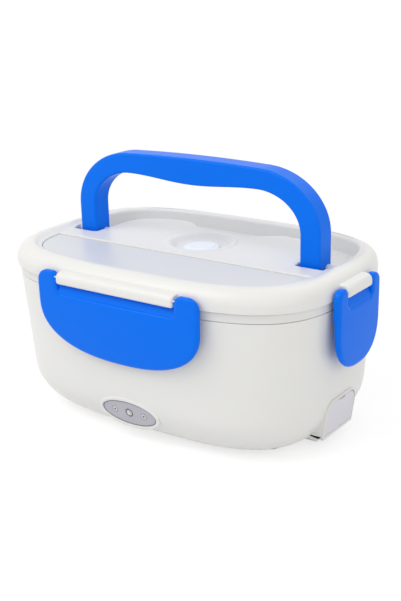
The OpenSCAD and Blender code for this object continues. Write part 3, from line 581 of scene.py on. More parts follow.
@dataclass
class BaseMoulding:
    """The heated base: its shell, the panel's boss, the inlet's housing and the catch ribs."""

    shape: Shape
    screw: tuple[float, float] = (61.0, 36.0)
    well_r: float = 3.3
    well_top: float = 5.1
    rib_z: float = 90.7
    rib_h: float = 2.0
    rib_out: float = 1.0

    def shell(self) -> Surface:
        """The base's wall: outer rings from the bottom up, then inner rings down."""
        s = self.shape
        curve = s.base_round - (s.base_round - s.foot_h) * np.cos(np.linspace(0, np.pi / 2, 18))
        outer = [s.base_ring(z) for z in [*curve, 50.0, 70.0, s.collar_low - 0.6]]
        lip = ovals(s.base_l, s.base_w, s.power, ((0.15, s.collar_low - 0.15), (0.6, s.collar_low)))
        low = s.foot_h + s.wall
        deep = s.base_round - (s.base_round - low) * np.cos(np.linspace(np.pi / 2, 0, 8))
        inner = [s.base_ring(z, s.wall) for z in [s.collar_low, *deep]]
        wall = skin(np.stack([*outer, *lip, *inner]))
        well = superellipse(self.well_r, self.well_r, 2.0, 32)
        spots = [well + np.array([x * self.screw[0], y * self.screw[1]]) for x, y in QUADRANTS]
        bottom = fill(outer[0][:, :2], s.foot_h, spots)
        for spot in spots:
            bottom += skin(np.stack([at_height(spot, s.foot_h), at_height(spot, self.well_top)]))
            bottom += fill(spot, self.well_top)
        return wall + bottom + fill(inner[-1][:, :2], low)

    def rib(self, half: float, wall_at: float, turn: float) -> Surface:
        """A catch rib: a rounded strip on the wall under a latch."""
        centre = np.array([wall_at - 1.2, self.rib_z + self.rib_h / 2])
        section = stadium(self.rib_out + 1.2, self.rib_h / 2, 0.6, 32) + centre
        bar = slab(section, -half, half, 0.4)
        return bar.mapped(lambda u, v, w: (w, -u, v)).turned(turn)

    def build(self) -> None:
        """Makes the base's own pieces."""
        s = self.shape
        share = (s.collar_low - self.rib_z) / (s.collar_low - s.base_round)
        front = s.base_w - s.taper_w * share
        end = s.base_l - s.taper_l * share
        panel, inlet = Panel(), Inlet()
        whole = self.shell()
        for half, wall_at, turn in ((38, front, 0), (38, front, 180), (11, end, 90), (11, end, 270)):
            whole += self.rib(half, wall_at, turn)
        whole = whole + panel.boss() + inlet.housing()
        write_piece("base_body", whole, WHITE, Body.BASE, ["base_shell"])
        panel.build()
        inlet.build()
        FeetAndWell(s).build()


@dataclass
class Panel:
    """The oval indicator on the front: boss, label film, lamp and plain printed marks."""

    y: float = 73.4
    z: float = 19.4
    lean: float = 12.0
    a: float = 21.5
    b: float = 8.4
    rim: float = 2.6
    sink: float = 0.9
    depth: float = 7.0
    mark_x: float = 11.6
    mark_r: float = 2.3

    def place(self, surface: Surface) -> Surface:
        """Puts a surface drawn flat in u, v, w on the leaning face, with w outwards."""
        c, s = math.cos(math.radians(self.lean)), math.sin(math.radians(self.lean))
        return surface.mapped(lambda u, v, w: (u, -self.y - v * s - w * c, self.z + v * c - w * s))

    def boss(self) -> Surface:
        """The white rim round the label, with a soft outer edge."""
        outer = superellipse(self.a + self.rim, self.b + self.rim, 2.0)
        edge = rounded([(0, -self.depth, 0), (0, 0, 1.3), (self.rim - 0.15, 0, 0)], 6)
        bevel = ((-0.3, 0.0), (0.0, -0.2), (0.0, -self.sink))
        hole = ovals(self.a + 0.15, self.b + 0.15, 2.0, bevel)
        return self.place(nested(np.vstack([carried(outer, edge[:-1]), hole])))

    def ring(self, centre: float, outer: float, inner: float, low: float, high: float) -> Surface:
        """A printed ring as a very thin plate."""
        profile = np.array([[inner, low], [outer, low], [outer, high], [inner, high], [inner, low]])
        return self.place(turned_solid(profile, (centre, 0.4), 64))

    def build(self) -> None:
        """Makes the label, the marks and the lamp."""
        face, lift = 0.3 - self.sink, 0.34 - self.sink
        film = slab(superellipse(self.a, self.b, 2.0), -self.sink, face, 0.12)
        write_piece("panel_label", self.place(film), LABEL, Body.BASE, ["indicator_label"])
        border = ((0.7, face), (0.25, face), (0.25, lift), (0.7, lift))
        edge = skin(ovals(self.a, self.b, 2.0, border), closed=True)
        dark = self.place(edge) + self.ring(0.0, 3.0, 2.1, face, lift)
        pale = self.ring(0.0, 2.1, 1.75, face, lift)
        for x in (-self.mark_x, self.mark_x):
            dark += self.ring(x, self.mark_r, self.mark_r - 0.35, face, lift)
            pale += self.ring(x, self.mark_r - 0.35, 0.0, face, lift)
            dark += self.ring(x, 0.8, 0.0, face, lift + 0.02)
        write_piece("panel_marks_dark", dark, PRINT_DARK, Body.BASE)
        write_piece("panel_marks_pale", pale, PRINT_PALE, Body.BASE)
        dome = rounded([(0, -self.depth, 0), (1.7, -self.depth, 0.2), (1.7, 0.0, 0.9), (0, 0.25, 0)], 8)
        lamp = self.place(turned_solid(dome, (0.0, 0.0), 48))
        write_piece("lamp_dome", lamp, LENS, Body.BASE, ["lamp_lens"])


@dataclass
class Inlet:
    """The power inlet low on the right end: housing and hinged cover."""

    x: float = 110.0
    z: float = 8.4
    lean: float = 8.0
    a: float = 18.8
    h: float = 24.0
    corner: float = 9.0
    flap_a: float = 17.2
    flap_low: float = 0.55
    flap_t: float = 2.2
    gap: float = 0.3
    low: float = 4.5

    def place(self, surface: Surface) -> Surface:
        """Puts a surface drawn flat in u, v, w on the leaning face, with w outwards."""
        c, s = math.cos(math.radians(self.lean)), math.sin(math.radians(self.lean))
        return surface.mapped(lambda u, v, w: (self.x + w * c + v * s, u, self.z - w * s + v * c))

    def arch(self, a: float, low: float, top: float, corner: float) -> Array:
        """Outline with a straight foot and two round upper corners."""
        t = np.linspace(0.0, np.pi / 2, 24)
        bend = np.column_stack([a - corner + corner * np.cos(t), top - corner + corner * np.sin(t)])
        right = np.vstack([[[a, low]], bend])
        return resample(np.vstack([right, right[::-1] * FLIP]), AROUND)

    def housing(self) -> Surface:
        """The white housing: an arch with a recess for the cover, and a wedge below it."""
        back, bottom = -self.flap_t - self.gap, -22.0
        outer = self.arch(self.a, -2.0, self.h, self.corner)
        hole = self.arch(self.flap_a + self.gap, 0.2, self.h - 1.3, self.corner - 1.4)
        edge = rounded([(0, bottom - 2.0, 0), (0, 0, 1.0), (1.1, 0, 0)], 5)
        recess = carried(hole, np.array([[-0.25, 0.0], [0.0, -0.25], [0.0, back]]))
        mouth = stadium(13.1, 7.7, 2.5) + np.array([0.0, 12.0])
        walls = skin(np.vstack([carried(outer, edge), recess])) + fill(outer, bottom - 2.0)
        walls += fill(hole, back, [mouth]) + fill(mouth, bottom)
        walls += skin(np.stack([at_height(mouth, back), at_height(mouth, bottom)]))
        top = self.z + 1.2
        side = [[92.0, self.low], [104.5, self.low], [109.3, self.z - 0.1], [109.6, top], [92.0, top]]
        wedge = slab(soften(np.array(side), 0.35, 160), -self.a, self.a, 0.9)
        return self.place(walls) + wedge.mapped(lambda u, v, w: (u, w, v))

    def build(self) -> None:
        """Makes the hinged cover, with a finger notch in its upper edge."""
        leaf = self.arch(self.flap_a, self.flap_low, self.h - 1.6, self.corner - 1.1)
        dip = 1.5 * np.exp(-((leaf[:, 0] / 3.6) ** 6)) * (leaf[:, 1] > self.h / 2)
        leaf = leaf - np.column_stack([np.zeros_like(dip), dip])
        cover = self.place(slab(leaf, -self.flap_t, 0.0, 0.45))
        write_piece("inlet_flap", cover, FLAP, Body.FLAP, ["inlet_cover"])


@dataclass
class FeetAndWell:
    """The well with its collar, the tray, the side box and its lid, and the rubber feet."""

    shape: Shape
    foot: tuple[float, float] = (78.0, 29.0)
    foot_r: float = 7.0
    ledge: float = 96.2
    tray_top: float = 98.0
    floor: float = 38.0
    cavity: tuple[float, float] = (106.0, 67.5)
    tray: tuple[float, float] = (104.6, 66.1)
    flange: tuple[float, float] = (112.8, 74.3)
    tray_wall: float = 1.6
    divider: float = 28.0
    box_left: float = 30.6

    def well(self) -> Surface:
        """The liner: collar outside, ledge for the tray and the deep well inside."""
        s = self.shape
        step = s.base_l - self.flange[0] - 0.3
        deep, low = s.base_l - self.cavity[0], self.floor - 0.1
        profile = [
            (8.3, 35.0, 0), (8.3, s.collar_low - 1.0, 0), (2.0, s.collar_low - 1.0, 0.2),
            (1.4, s.collar_low, 0.3), (0.0, s.collar_low + 0.35, 0.5), (0.0, s.collar_top, 0.55),
            (step, s.collar_top, 0.5), (step, self.ledge, 0.3), (deep, self.ledge, 0.8),
            (deep, low, 3.5), (deep + 8.0, low, 0),
        ]
        return nested(ovals(s.base_l, s.base_w, s.power, rounded(profile)))

    def dish(self) -> Surface:
        """The food tray with its flange, and the divider across it."""
        t, low = self.tray_wall, self.floor + 0.3
        out = self.flange[0] - self.tray[0]
        profile = [
            (out + 8.0, low, 0), (out, low, 3.0), (out, self.ledge, 0.5), (0, self.ledge, 0.5),
            (0, self.tray_top, 0.8), (out + t, self.tray_top, 0.8), (out + t, low + t, 3.0),
            (out + t + 8.0, low + t, 0),
        ]
        body = nested(ovals(*self.flange, self.shape.power, rounded(profile, 6)))
        plate = stadium(self.tray[1] - t + 0.4, 25.6, 1.2) + np.array([0.0, 64.6])
        wall = slab(plate, self.divider, self.divider + t, 0.5)
        return body + wall.mapped(lambda u, v, w: (w, u, v))

    def side_part(self, profile: Sequence[tuple[float, float, float]], steps: int) -> Surface:
        """A solid of a profile carried round the side box, which fills the tray's right part."""
        full = superellipse(101.0, 62.5, self.shape.power, 4 * AROUND)
        kept = full[full[:, 0] > self.box_left]
        kept = kept[np.argsort(np.arctan2(kept[:, 1], kept[:, 0] - 60.0))]
        return nested(carried(soften(kept, 1.6), rounded(profile, steps)))

    def box(self) -> Surface:
        """The side box: a thin open container."""
        low, top, t = 40.0, 84.0, self.tray_wall
        profile = [
            (7.0, low, 0), (0, low, 2.5), (0, top, 0.6), (t, top, 0.6), (t, low + t, 2.0), (7.0, low + t, 0),
        ]
        return self.side_part(profile, 5)

    def box_lid(self) -> Surface:
        """The side box's lid, with a shallow step and a rim below."""
        foot, low = 81.1, 84.1
        profile = [
            (6.0, low, 0), (3.5, low, 0.3), (3.5, foot, 0.4), (1.9, foot, 0.4), (1.9, low, 0.3),
            (0, low, 0.4), (0, 86.1, 0.7), (3.0, 86.1, 0.5), (3.8, 85.4, 0.5), (8.0, 85.4, 0),
        ]
        return self.side_part(profile, 4)

    def build(self) -> None:
        """Makes the liner, the tray, the side box, its lid and the feet."""
        write_piece("well_liner", self.well(), LINER, Body.BASE, ["inner_well"])
        write_piece("tray_dish", self.dish(), TRAY, Body.TRAY, ["food_tray"])
        write_piece("side_container", self.box(), TRAY, Body.BOX, ["side_box"])
        box_lid = self.box_lid()
        write_piece("side_container_lid", box_lid, BOX_LID, Body.BOX_LID, ["side_box_lid"])
        r, (far, near) = self.foot_r, self.foot
        profile = rounded([(0, 0, 0), (r, 0, 0.7), (r, 2.7, 0.2), (0, 2.7, 0)], 5)
        pads = [turned_solid(profile, (x * far, y * near), 64) for x, y in QUADRANTS]
        write_piece("rubber_pads", join(pads), RUBBER, Body.BASE, ["feet"])


@dataclass
class LidMoulding:
    """The lid: rim, sunk field, groove for the handle, spoon compartment and latch bars."""

    shape: Shape
    rim_round: float = 9.8
    rim_back: float = 0.62
    groove: tuple[float, float] = (103.0, 70.1)
    groove_power: float = 4.0
    groove_front: float = -4.1
    leg_room: float = 80.0
    platform_w: float = 51.9
    platform_power: float = 4.5
    scoop_in: float = 14.0
    scoop_flat: float = 15.0
    scoop_half: float = 42.0
    ridge: float = -20.0
    ledge: float = 109.4
    ledge_w: float = 2.6
    vent: tuple[float, float] = (0.0, 10.0)
    ring_r: float = 23.0
    bowl_r: float = 21.3
    bowl_floor_r: float = 12.3
    bowl_floor: float = 107.6
    pivot: tuple[float, float] = (8.5, 108.7)
    boss_r: float = 3.2

    def inner_edge(self) -> Array:
        """Inner edge of the rim: the field's outline in front, the groove's at the back."""
        s = self.shape
        back = circle(16 * AROUND)[1] > 0
        power = np.where(back, self.groove_power, s.field_power)
        a = np.where(back, self.groove[0], s.field_l)
        b = np.where(back, self.groove[1], s.field_w)
        return soften(oval(a, b, power, 16 * AROUND), 2.0)

    def matched(self, curve: Array, guide: Array) -> Array:
        """Points of a curve at the same polar angles as the guide's points."""
        dense = resample(curve, 16 * AROUND)
        angle = np.unwrap(np.arctan2(dense[:, 1], dense[:, 0]))
        want = np.arctan2(guide[:, 1], guide[:, 0])
        want = (want - angle[0]) % (2 * np.pi) + angle[0]
        order = np.argsort(angle)
        found = [np.interp(want, angle[order], dense[order, i], period=2 * np.pi) for i in (0, 1)]
        return np.column_stack(found)

    def rim(self) -> Surface:
        """The rim as a closed loop of rings: up the wall, over the crest and down inside."""
        s = self.shape
        guide = superellipse(s.half_l - self.rim_round, s.half_w - self.rim_round, s.power)
        inner = self.matched(self.inner_edge(), guide)
        back = np.clip((inner[:, 1] - 5.0) / 50.0, 0.0, 1.0)
        back = back * back * (3.0 - 2.0 * back)
        edge_z = s.field + (s.top - 0.25 - s.field) * back
        soft = 1.2 + 1.4 * back
        t = np.linspace(0.0, np.pi / 2, 14)
        r = self.rim_round
        low = s.lid_low
        outer = [(2.4, s.under), (2.4, low), (0.7, low), (0.2, low + 0.2), (0.0, low + 0.7)]
        outer += [(r * (1 - math.cos(v)), s.top - r * (1 - math.sin(v))) for v in t]
        rings = []
        share = back[:, None]
        for inset, z in outer:
            near, far = (
                self.matched(superellipse(s.half_l - i, s.half_w - i, s.power), guide)
                for i in (inset, inset * self.rim_back)
            )
            rings.append(at_height(near * (1 - share) + far * share, z))
        crest = rings[-1]
        for share in np.linspace(0.0, 1.0, 10)[1:]:
            flat = crest[:, :2] * (1 - share) + offset(inner, soft) * share
            fall = share * share * (3 - 2 * share)
            rings.append(np.column_stack([flat, crest[:, 2] * (1 - fall) + edge_z * fall]))
        for turn in np.linspace(0.0, np.pi / 2, 9)[1:]:
            out = offset(inner, soft * (1 - math.sin(turn)))
            rings.append(at_height(out, edge_z - soft * (1 - math.cos(turn))))
        foot = np.array([(0.05, s.floor + 1.2), (0.9, s.floor - 0.01), (0.9, s.under)])
        return skin(np.vstack([np.stack(rings), carried(inner, foot)]), closed=True)

    def platform_edge(self) -> Array:
        """Outline of the raised panel: ridge in front, leg pockets beside, scoop at the back."""
        s = self.shape
        x = np.linspace(self.leg_room, -self.leg_room, 361)
        power = self.platform_power
        top = self.platform_w * (1 - np.abs(x / self.leg_room) ** power) ** (1 / power)
        reach = np.clip((np.abs(x) - self.scoop_flat) / (self.scoop_half - self.scoop_flat), 0, 1)
        back = np.column_stack([x, top - self.scoop_in * (0.5 + 0.5 * np.cos(np.pi * reach))])
        wide = s.field_l + 5.0
        front = self.groove_front
        right = np.array([[wide, self.ridge], [wide, front], [self.leg_room, front]])
        return soften(np.vstack([right, back, right[::-1] * FLIP]), 1.5, 3 * AROUND)

    def panel(self) -> Surface:
        """The raised panel with the vent's soft ring and bowl pressed into it."""
        s = self.shape
        outline = self.platform_edge()
        high, low = s.field, s.floor
        side = [
            (-1.4, low - 0.5, 0), (-1.2, low, 0.5), (0.0, low + 0.6, 1.5), (0.4, high, 2.0), (2.6, high, 0),
        ]
        wall = carried(outline, rounded(side, 6))
        reach, r = self.ring_r, self.bowl_r
        profile = [
            (reach + 2.1, high, 0), (reach + 1.6, high, 0.9), (reach + 0.3, high + 0.9, 1.2),
            (r - 0.6, high + 0.7, 1.3), (r - 4.5, self.bowl_floor + 0.9, 4.0),
            (self.bowl_floor_r, self.bowl_floor, 1.5), (0, self.bowl_floor, 0),
        ]
        bowl = turned_solid(rounded(profile, 8), self.vent, 128)
        top = fill(wall[-1][:, :2], high, [bowl.vertices[:128, :2]])
        return skin(wall) + fill(wall[0][:, :2], low - 0.5) + top + bowl

    def strip_outline(self, inset: float) -> Array:
        """Outline of the spoon compartment, in front of the ridge."""
        s = self.shape
        full = superellipse(s.field_l - inset, s.field_w - inset, s.field_power, 4 * AROUND)
        kept = full[full[:, 1] < self.ridge - inset]
        kept = kept[np.argsort(np.arctan2(kept[:, 1] + 40.0, kept[:, 0]))]
        return soften(kept, 1.2, 2 * AROUND)

    def ledge_ring(self) -> Surface:
        """The ledge round the compartment that carries its cover."""
        low, high, wide = self.shape.floor, self.ledge, self.ledge_w
        profile = [
            (-1.5, low - 0.6, 0), (-1.5, high, 0), (wide, high, 0.5), (wide, low + 0.1, 0.8),
            (wide + 1.2, low - 0.6, 0),
        ]
        return skin(carried(self.strip_outline(0.0), rounded(profile, 4)), closed=True)

    def bar(self, reach: float, half: float, out: float, turn: float) -> Surface:
        """A latch's bar on the lid's side: a rounded section that shrinks at its soft ends."""
        low, high, r = 101.0, 108.9, 4.4
        arc = np.linspace(0, np.pi / 2, 9)
        face = -reach - out
        shoulder = np.column_stack([face + r * (1 - np.cos(arc)), high - r * (1 - np.sin(arc))])
        back = [[-reach + 4, high], [-reach + 4, low], [face + 1, low], [face, low + 1]]
        section = soften(np.vstack([back, shoulder]), 0.5, 96)
        middle = np.array([-reach + 1, (low + high) / 2])
        t = np.linspace(0, np.pi / 2, 7)
        along = 2.0 * (1 - np.cos(t)) - half
        size = 1 - 0.24 * (1 - np.sin(t))
        stations = zip([*size, *size[::-1]], [*along, *-along[::-1]])
        rings = np.stack([at_height(middle + (section - middle) * k, w) for k, w in stations])
        return nested(rings).mapped(lambda u, v, w: (w, u, v)).turned(turn)

    def bosses(self) -> Surface:
        """Short bosses in the groove's walls that hold the handle's pins."""
        y, z = self.pivot
        made = []
        for low, high in ((79.0, 81.5), (96.0, 104.0)):
            post = rod(self.boss_r, low, high, 0.4, 48)
            made += [post.mapped(lambda u, v, w, k=side: (k * w, y + u, z + v)) for side in (-1, 1)]
        return join(made)

    def build(self) -> None:
        """Makes the lid and everything that is fixed to it."""
        s = self.shape
        floor = slab(offset(self.inner_edge(), 1.0), s.under + 0.1, s.floor, 0.05)
        whole = self.rim() + floor + self.panel() + self.ledge_ring() + self.bosses()
        long, short = (s.half_w, 45.2, 5.0), (s.half_l, 15.2, 5.8)
        for sizes, turn in ((long, 0), (long, 180), (short, 90), (short, 270)):
            whole += self.bar(*sizes, turn)
        write_piece("lid_moulding", whole, WHITE, Body.LID, ["lid_shell"])
        self.underside()
        cover = slab(self.strip_outline(0.3), self.ledge + 0.1, self.ledge + 1.7, 0.45)
        write_piece("strip_cover", cover, STRIP, Body.STRIP, ["spoon_cover"])
        self.plug()

    def underside(self) -> None:
        """Makes the liner plate and the lipped seal under the lid."""
        s = self.shape
        plate = slab(superellipse(115.3, 76.8, s.power), 100.0, 101.5, 0.4)
        write_piece("lid_inner_plate", plate, LINER, Body.LID, ["lid_liner"])
        low, top = 98.1, 100.7
        profile = [
            (0, top, 0.3), (0, 98.6, 0.5), (1.0, low, 0.5), (2.4, 98.7, 0.8), (3.8, low, 0.5),
            (4.8, 98.6, 0.5), (4.8, top, 0.3),
        ]
        ring = skin(ovals(111.1, 72.6, s.power, rounded(profile, 4)), closed=True)
        write_piece("lid_seal", ring, SILICONE, Body.LID, ["seal_ring"])

    def plug(self) -> None:
        """Makes the vent plug: a soft disc with a low grip and a stem."""
        low, high = 107.7, 109.3
        profile = [
            (0, 97.0, 0), (3.0, 97.0, 0.8), (3.0, low, 0.2), (12.0, low, 0.4), (12.0, high, 0.8),
            (10.0, high, 0.4), (8.6, 110.2, 0.8), (6.0, 109.5, 1.5), (0, 109.2, 0),
        ]
        disc = turned_solid(rounded(profile, 6), self.vent)
        write_piece("vent_disc", disc, SILICONE, Body.PLUG, ["vent_plug"])


@dataclass
class Handle:
    """The carry handle: an arch with a rounded section and a swell under the palm."""

    pivot: tuple[float, float] = (8.5, 108.7)
    out: float = 95.5
    leg: float = 13.5
    corner: float = 50.0
    corner_low: float = 21.4
    height: float = 60.65
    gap_h: float = 46.8
    swell: float = 2.8
    crown: float = 1.0
    front: float = -9.6
    back: float = 4.9
    foot: float = -4.9
    edge: float = 1.7
    full: float = 0.35
    foot_round: float = 1.6
    around: int = 64

    def sides(self) -> tuple[Array, Array]:
        """Outer and inner edge of the arch seen from the front, station by station."""
        up = np.linspace(self.foot, self.corner_low, 10)[:-1]
        t = np.linspace(0, np.pi / 2, 26)[:-1]
        x = np.linspace(self.corner, 0, 24)
        top = self.height - self.crown
        crown = top + self.crown * (1 - (x / self.corner) ** 2)
        palm = self.gap_h - self.swell * (0.5 + 0.5 * np.cos(np.pi * x / self.corner))
        edges = []
        for side, high, middle in ((self.out, top, crown), (self.out - self.leg, self.gap_h, palm)):
            bend_x = self.corner + (side - self.corner) * np.cos(t)
            bend_z = self.corner_low + (high - self.corner_low) * np.sin(t)
            right = np.vstack([
                np.column_stack([np.full_like(up, side), up]),
                np.column_stack([bend_x, bend_z]),
                np.column_stack([x, middle]),
            ])
            edges.append(np.vstack([right, right[-2::-1] * FLIP]))
        return edges[0], edges[1]

    def build(self) -> None:
        """Makes the arch: a rounded rectangle between its edges, closed by soft feet."""
        outer, inner = self.sides()
        middle, half = (outer + inner) / 2, (outer - inner) / 2
        width = np.hypot(half[:, 0], half[:, 1])
        across = half / width[:, None]
        depth = (self.back - self.front) / 2 + self.full
        middle_y = self.pivot[0] + (self.back + self.front) / 2
        width += self.full
        c, s = circle(self.around)

        def section(station: int, turn: float) -> Array:
            """One ring; at a foot, all its sides are drawn in as the turn grows."""
            shrink = self.foot_round * (1 - math.cos(turn))
            drop = self.foot_round * (1 - math.sin(turn)) if turn else 0.0
            radius = max(self.edge - 0.4 * shrink, 0.6)
            u = np.sign(np.round(c, 9)) * (width[station] - shrink - radius) + radius * c
            v = np.sign(np.round(s, 9)) * (depth - shrink - radius) + radius * s
            x = middle[station, 0] + across[station, 0] * u
            z = middle[station, 1] + across[station, 1] * u + drop
            return np.column_stack([x, middle_y + v, self.pivot[1] + z])

        turns = np.linspace(np.pi / 2, 0, 6)[:-1]
        last = len(outer) - 1
        start = [section(0, turn) for turn in turns]
        body = [section(i, 0.0) for i in range(1, last)]
        finish = [section(last, turn) for turn in turns[::-1]]
        arch = nested(np.stack([*start, *body, *finish]))
        write_piece("carry_handle", arch, BLUE, Body.HANDLE, ["handle"])


@dataclass
class Latch:
    """A snap latch: bowed plate with a turned-in edge and two thick ears on a pin."""

    name: str
    body: Body
    turn: float
    reach: float
    half: float
    ear: float
    drop: float
    rib_half: float
    plan_radius: float
    pin_half: float
    bow: float
    top: float
    ear_round: float
    ear_chamfer: float
    low: float
    proud: float
    plate_top: float = 94.8
    thick: float = 2.2
    rim: float = 2.0
    face_round: float = 2.6
    tooth_z: float = 88.4
    pin_z: float = 105.3
    pin_out: float = 3.0
    pin_r: float = 0.7
    ear_back: float = 4.9

    @property
    def face(self) -> float:
        """Depth of the plate's face in front of the middle of the box."""
        return -self.reach - self.proud

    def outline(self) -> Array:
        """Front view: a curved foot, round outer ear corners and the notch between the ears."""
        t = np.linspace(-np.pi / 2, 0, 40)
        power = 2 / 2.4
        foot_z = self.low + self.drop - self.drop * np.abs(np.sin(t)) ** power
        foot = np.column_stack([self.half * np.abs(np.cos(t)) ** power, foot_z])
        inner, low = self.half - self.ear, self.plate_top
        turn = np.linspace(0, np.pi / 2, 12)
        r, cut = self.ear_round, self.ear_chamfer
        corner = [self.half - r * (1 - np.cos(turn)), self.top - r * (1 - np.sin(turn))]
        notch = [[inner + cut, self.top], [inner, self.top - cut], [inner, low + 2.4], [inner - 2.4, low]]
        right = np.vstack([foot, np.column_stack(corner), notch])
        return soften(np.vstack([right, right[:0:-1] * FLIP]), 0.5, 3 * AROUND)

    def share(self, z: Array) -> Array:
        """How far down the plate a height is, from 0 at its top to 1 at its foot."""
        return np.clip((self.plate_top - z) / (self.plate_top - self.low), 0.0, 1.0)

    def side(self, x: float | Array) -> float | Array:
        """How far the face falls back at x: x^2 / (2 R)."""
        return x**2 / (2 * self.plan_radius)

    def bowed(self, x: Array, z: Array, w: Array) -> tuple[Array, Array, Array]:
        """Places the plate: w is depth behind the face, which also bows in towards the foot."""
        return x, self.face + self.bow * self.share(z) ** 2 + self.side(x) + w, z

    def plate(self) -> Surface:
        """The plate with its turned-in edge, as a shallow tray."""
        outline = self.outline()
        depth = self.thick + 1.9 * (1 - self.share(outline[:, 1])) ** 0.8
        t = np.linspace(np.pi / 2, 0, 9)
        edge = np.column_stack([self.face_round * (1 - np.cos(t)), 1.6 * (1 - np.sin(t))])
        rings = [*carried(outline, edge)]
        turned_in = ((0.0, -0.5), (0.15, -0.15), (0.5, 0.0), (self.rim - 0.4, 0.0), (self.rim, -0.3))
        for inset, level in turned_in:
            rings.append(at_height(offset(outline, -inset), depth + level))
        rings.append(at_height(offset(outline, -self.rim - 0.2), self.thick))
        front = fill(rings[0][:, :2], 0.0, spacing=4.0)
        back = fill(rings[-1][:, :2], self.thick, spacing=4.0)
        return (skin(np.stack(rings)) + front + back).mapped(self.bowed)

    def ears(self) -> Surface:
        """The thick ears, round about the pin, and the tooth behind the plate."""
        face, back, outline = self.face, self.ear_back, self.outline()
        inner = self.half - self.ear
        right = outline[(outline[:, 0] > inner - 0.3) & (outline[:, 1] > 88.9)]
        middle = self.half - 0.5 * self.ear
        right = right[np.argsort(np.arctan2(right[:, 1] - 99.0, right[:, 0] - middle))]
        profile = [(1.2, back, 0), (-0.06, back, 0.9), (-0.06, 1.5, 0.3), (1.2, 1.5, 0)]
        block = nested(carried(soften(right, 0.3, 160), rounded(profile)))
        ear = block.mapped(
            lambda u, v, w: (u, np.minimum(face + w + self.side(u) * (w < 3.0), face + back), v)
        )
        tooth = stadium(self.rib_half, 1.0, 0.5, 64) + np.array([0.0, self.tooth_z + 1.0])
        tab = slab(tooth, 1.6 + 0.2 * self.side(inner), 5.0, 0.4)
        web = np.array([[0.7, 95.0], [0.7, 93.2], [2.0, 93.2], [4.4, 97.4], [4.4, 100.5], [3.7, 100.5]])
        channel = slab(soften(web, 0.2, 48), -inner - 0.8, inner + 0.8, 0.2)
        return join([
            ear,
            ear.mapped(lambda u, v, w: (-u, v, w)),
            channel.mapped(lambda u, v, w: (w, face + u + self.side(w) * (u < 3.0), v)),
            tab.mapped(lambda u, v, w: (u, face + w, v)),
        ])

    def pin(self) -> Surface:
        """The steel pin between the ears, with soft ends inside them."""
        y, z = -self.reach - self.pin_out, self.pin_z
        upright = rod(self.pin_r, -self.pin_half, self.pin_half, 0.3, 32)
        return upright.mapped(lambda u, v, w: (w, u + y, z + v)).turned(self.turn)

    def build(self) -> None:
        """Makes the latch at its side of the box."""
        whole = (self.plate() + self.ears()).turned(self.turn)
        write_piece(f"{self.name}_clip", whole, BLUE, self.body, [self.name])
        write_piece(f"{self.name}_pin", self.pin(), STEEL, Body.LID, ["latch_pins"])


@dataclass
class Spoon:
    """The spoon in its compartment: an oval bowl, a neck and a flat stem."""

    y: float = -38.45
    z: float = 103.3
    length: float = 164.0
    bowl_a: float = 24.0
    bowl_b: float = 14.0
    neck: float = 4.2
    end: float = 7.0
    height: float = 5.3

    def build(self) -> None:
        """Makes the spoon as stations along X with a hollow, rounded section."""
        half = self.length / 2
        x = -half + self.length * (0.5 - 0.5 * np.cos(np.linspace(0.02, np.pi - 0.02, 90)))
        bowl_x = half - self.bowl_a
        bowl = self.bowl_b * np.sqrt(np.clip(1 - ((x - bowl_x) / self.bowl_a) ** 2, 0, 1))
        tail_x = -half + self.end
        tip = self.end * np.sqrt(np.clip(1 - ((x - tail_x) / self.end) ** 2, 0, 1))
        stem = self.neck + (self.end - self.neck) * np.exp(-(((x - tail_x) / 45.0) ** 2))
        tail = np.where(x < tail_x, tip, stem)
        width = np.maximum(bowl, tail * (x < bowl_x))
        in_bowl = np.clip(bowl / self.bowl_b, 0, 1)[:, None] ** 2
        thick = 1.1 + 0.3 * (1 - in_bowl)
        u, w = circle(40)
        sag = (self.height - 2.2) * in_bowl * u**2
        level = self.z + 1.1 + 0.4 * (1 - in_bowl) + sag + 0.8 * thick * w
        along = np.broadcast_to(x[:, None], level.shape)
        rings = np.stack([along, self.y + width[:, None] * u, level], axis=-1)
        ends = [np.broadcast_to(ring.mean(axis=0), ring.shape) for ring in (rings[0], rings[-1])]
        surface = skin(np.concatenate([[ends[0]], rings, [ends[1]]]))
        write_piece("spoon_piece", surface, BLUE, Body.SPOON, ["spoon"])


def dress(nodes: dict[str, bpy.types.Object]) -> None:
    """Gives its finish to each node of the frame that keeps its own shape."""
    for finish, names in (
        (ALUMINIUM, "heating_plate"),
        (FILM, "ptc_heater"),
        (STEEL, "heater_clamp clamp_screws thermal_fuse inlet_hinge_pin base_screws handle_pins"),
        (BLACK, "thermostat inlet_socket"),
        (BRASS, "socket_pins"),
        (BOARD, "lamp_board"),
        (RED_WIRE, "power_wires"),
        (PALE_WIRE, "lamp_wires"),
    ):
        for name in names.split():
            materials = nodes[name].data.materials
            materials.clear()
            materials.append(finish.material())


# Camera, light and floor


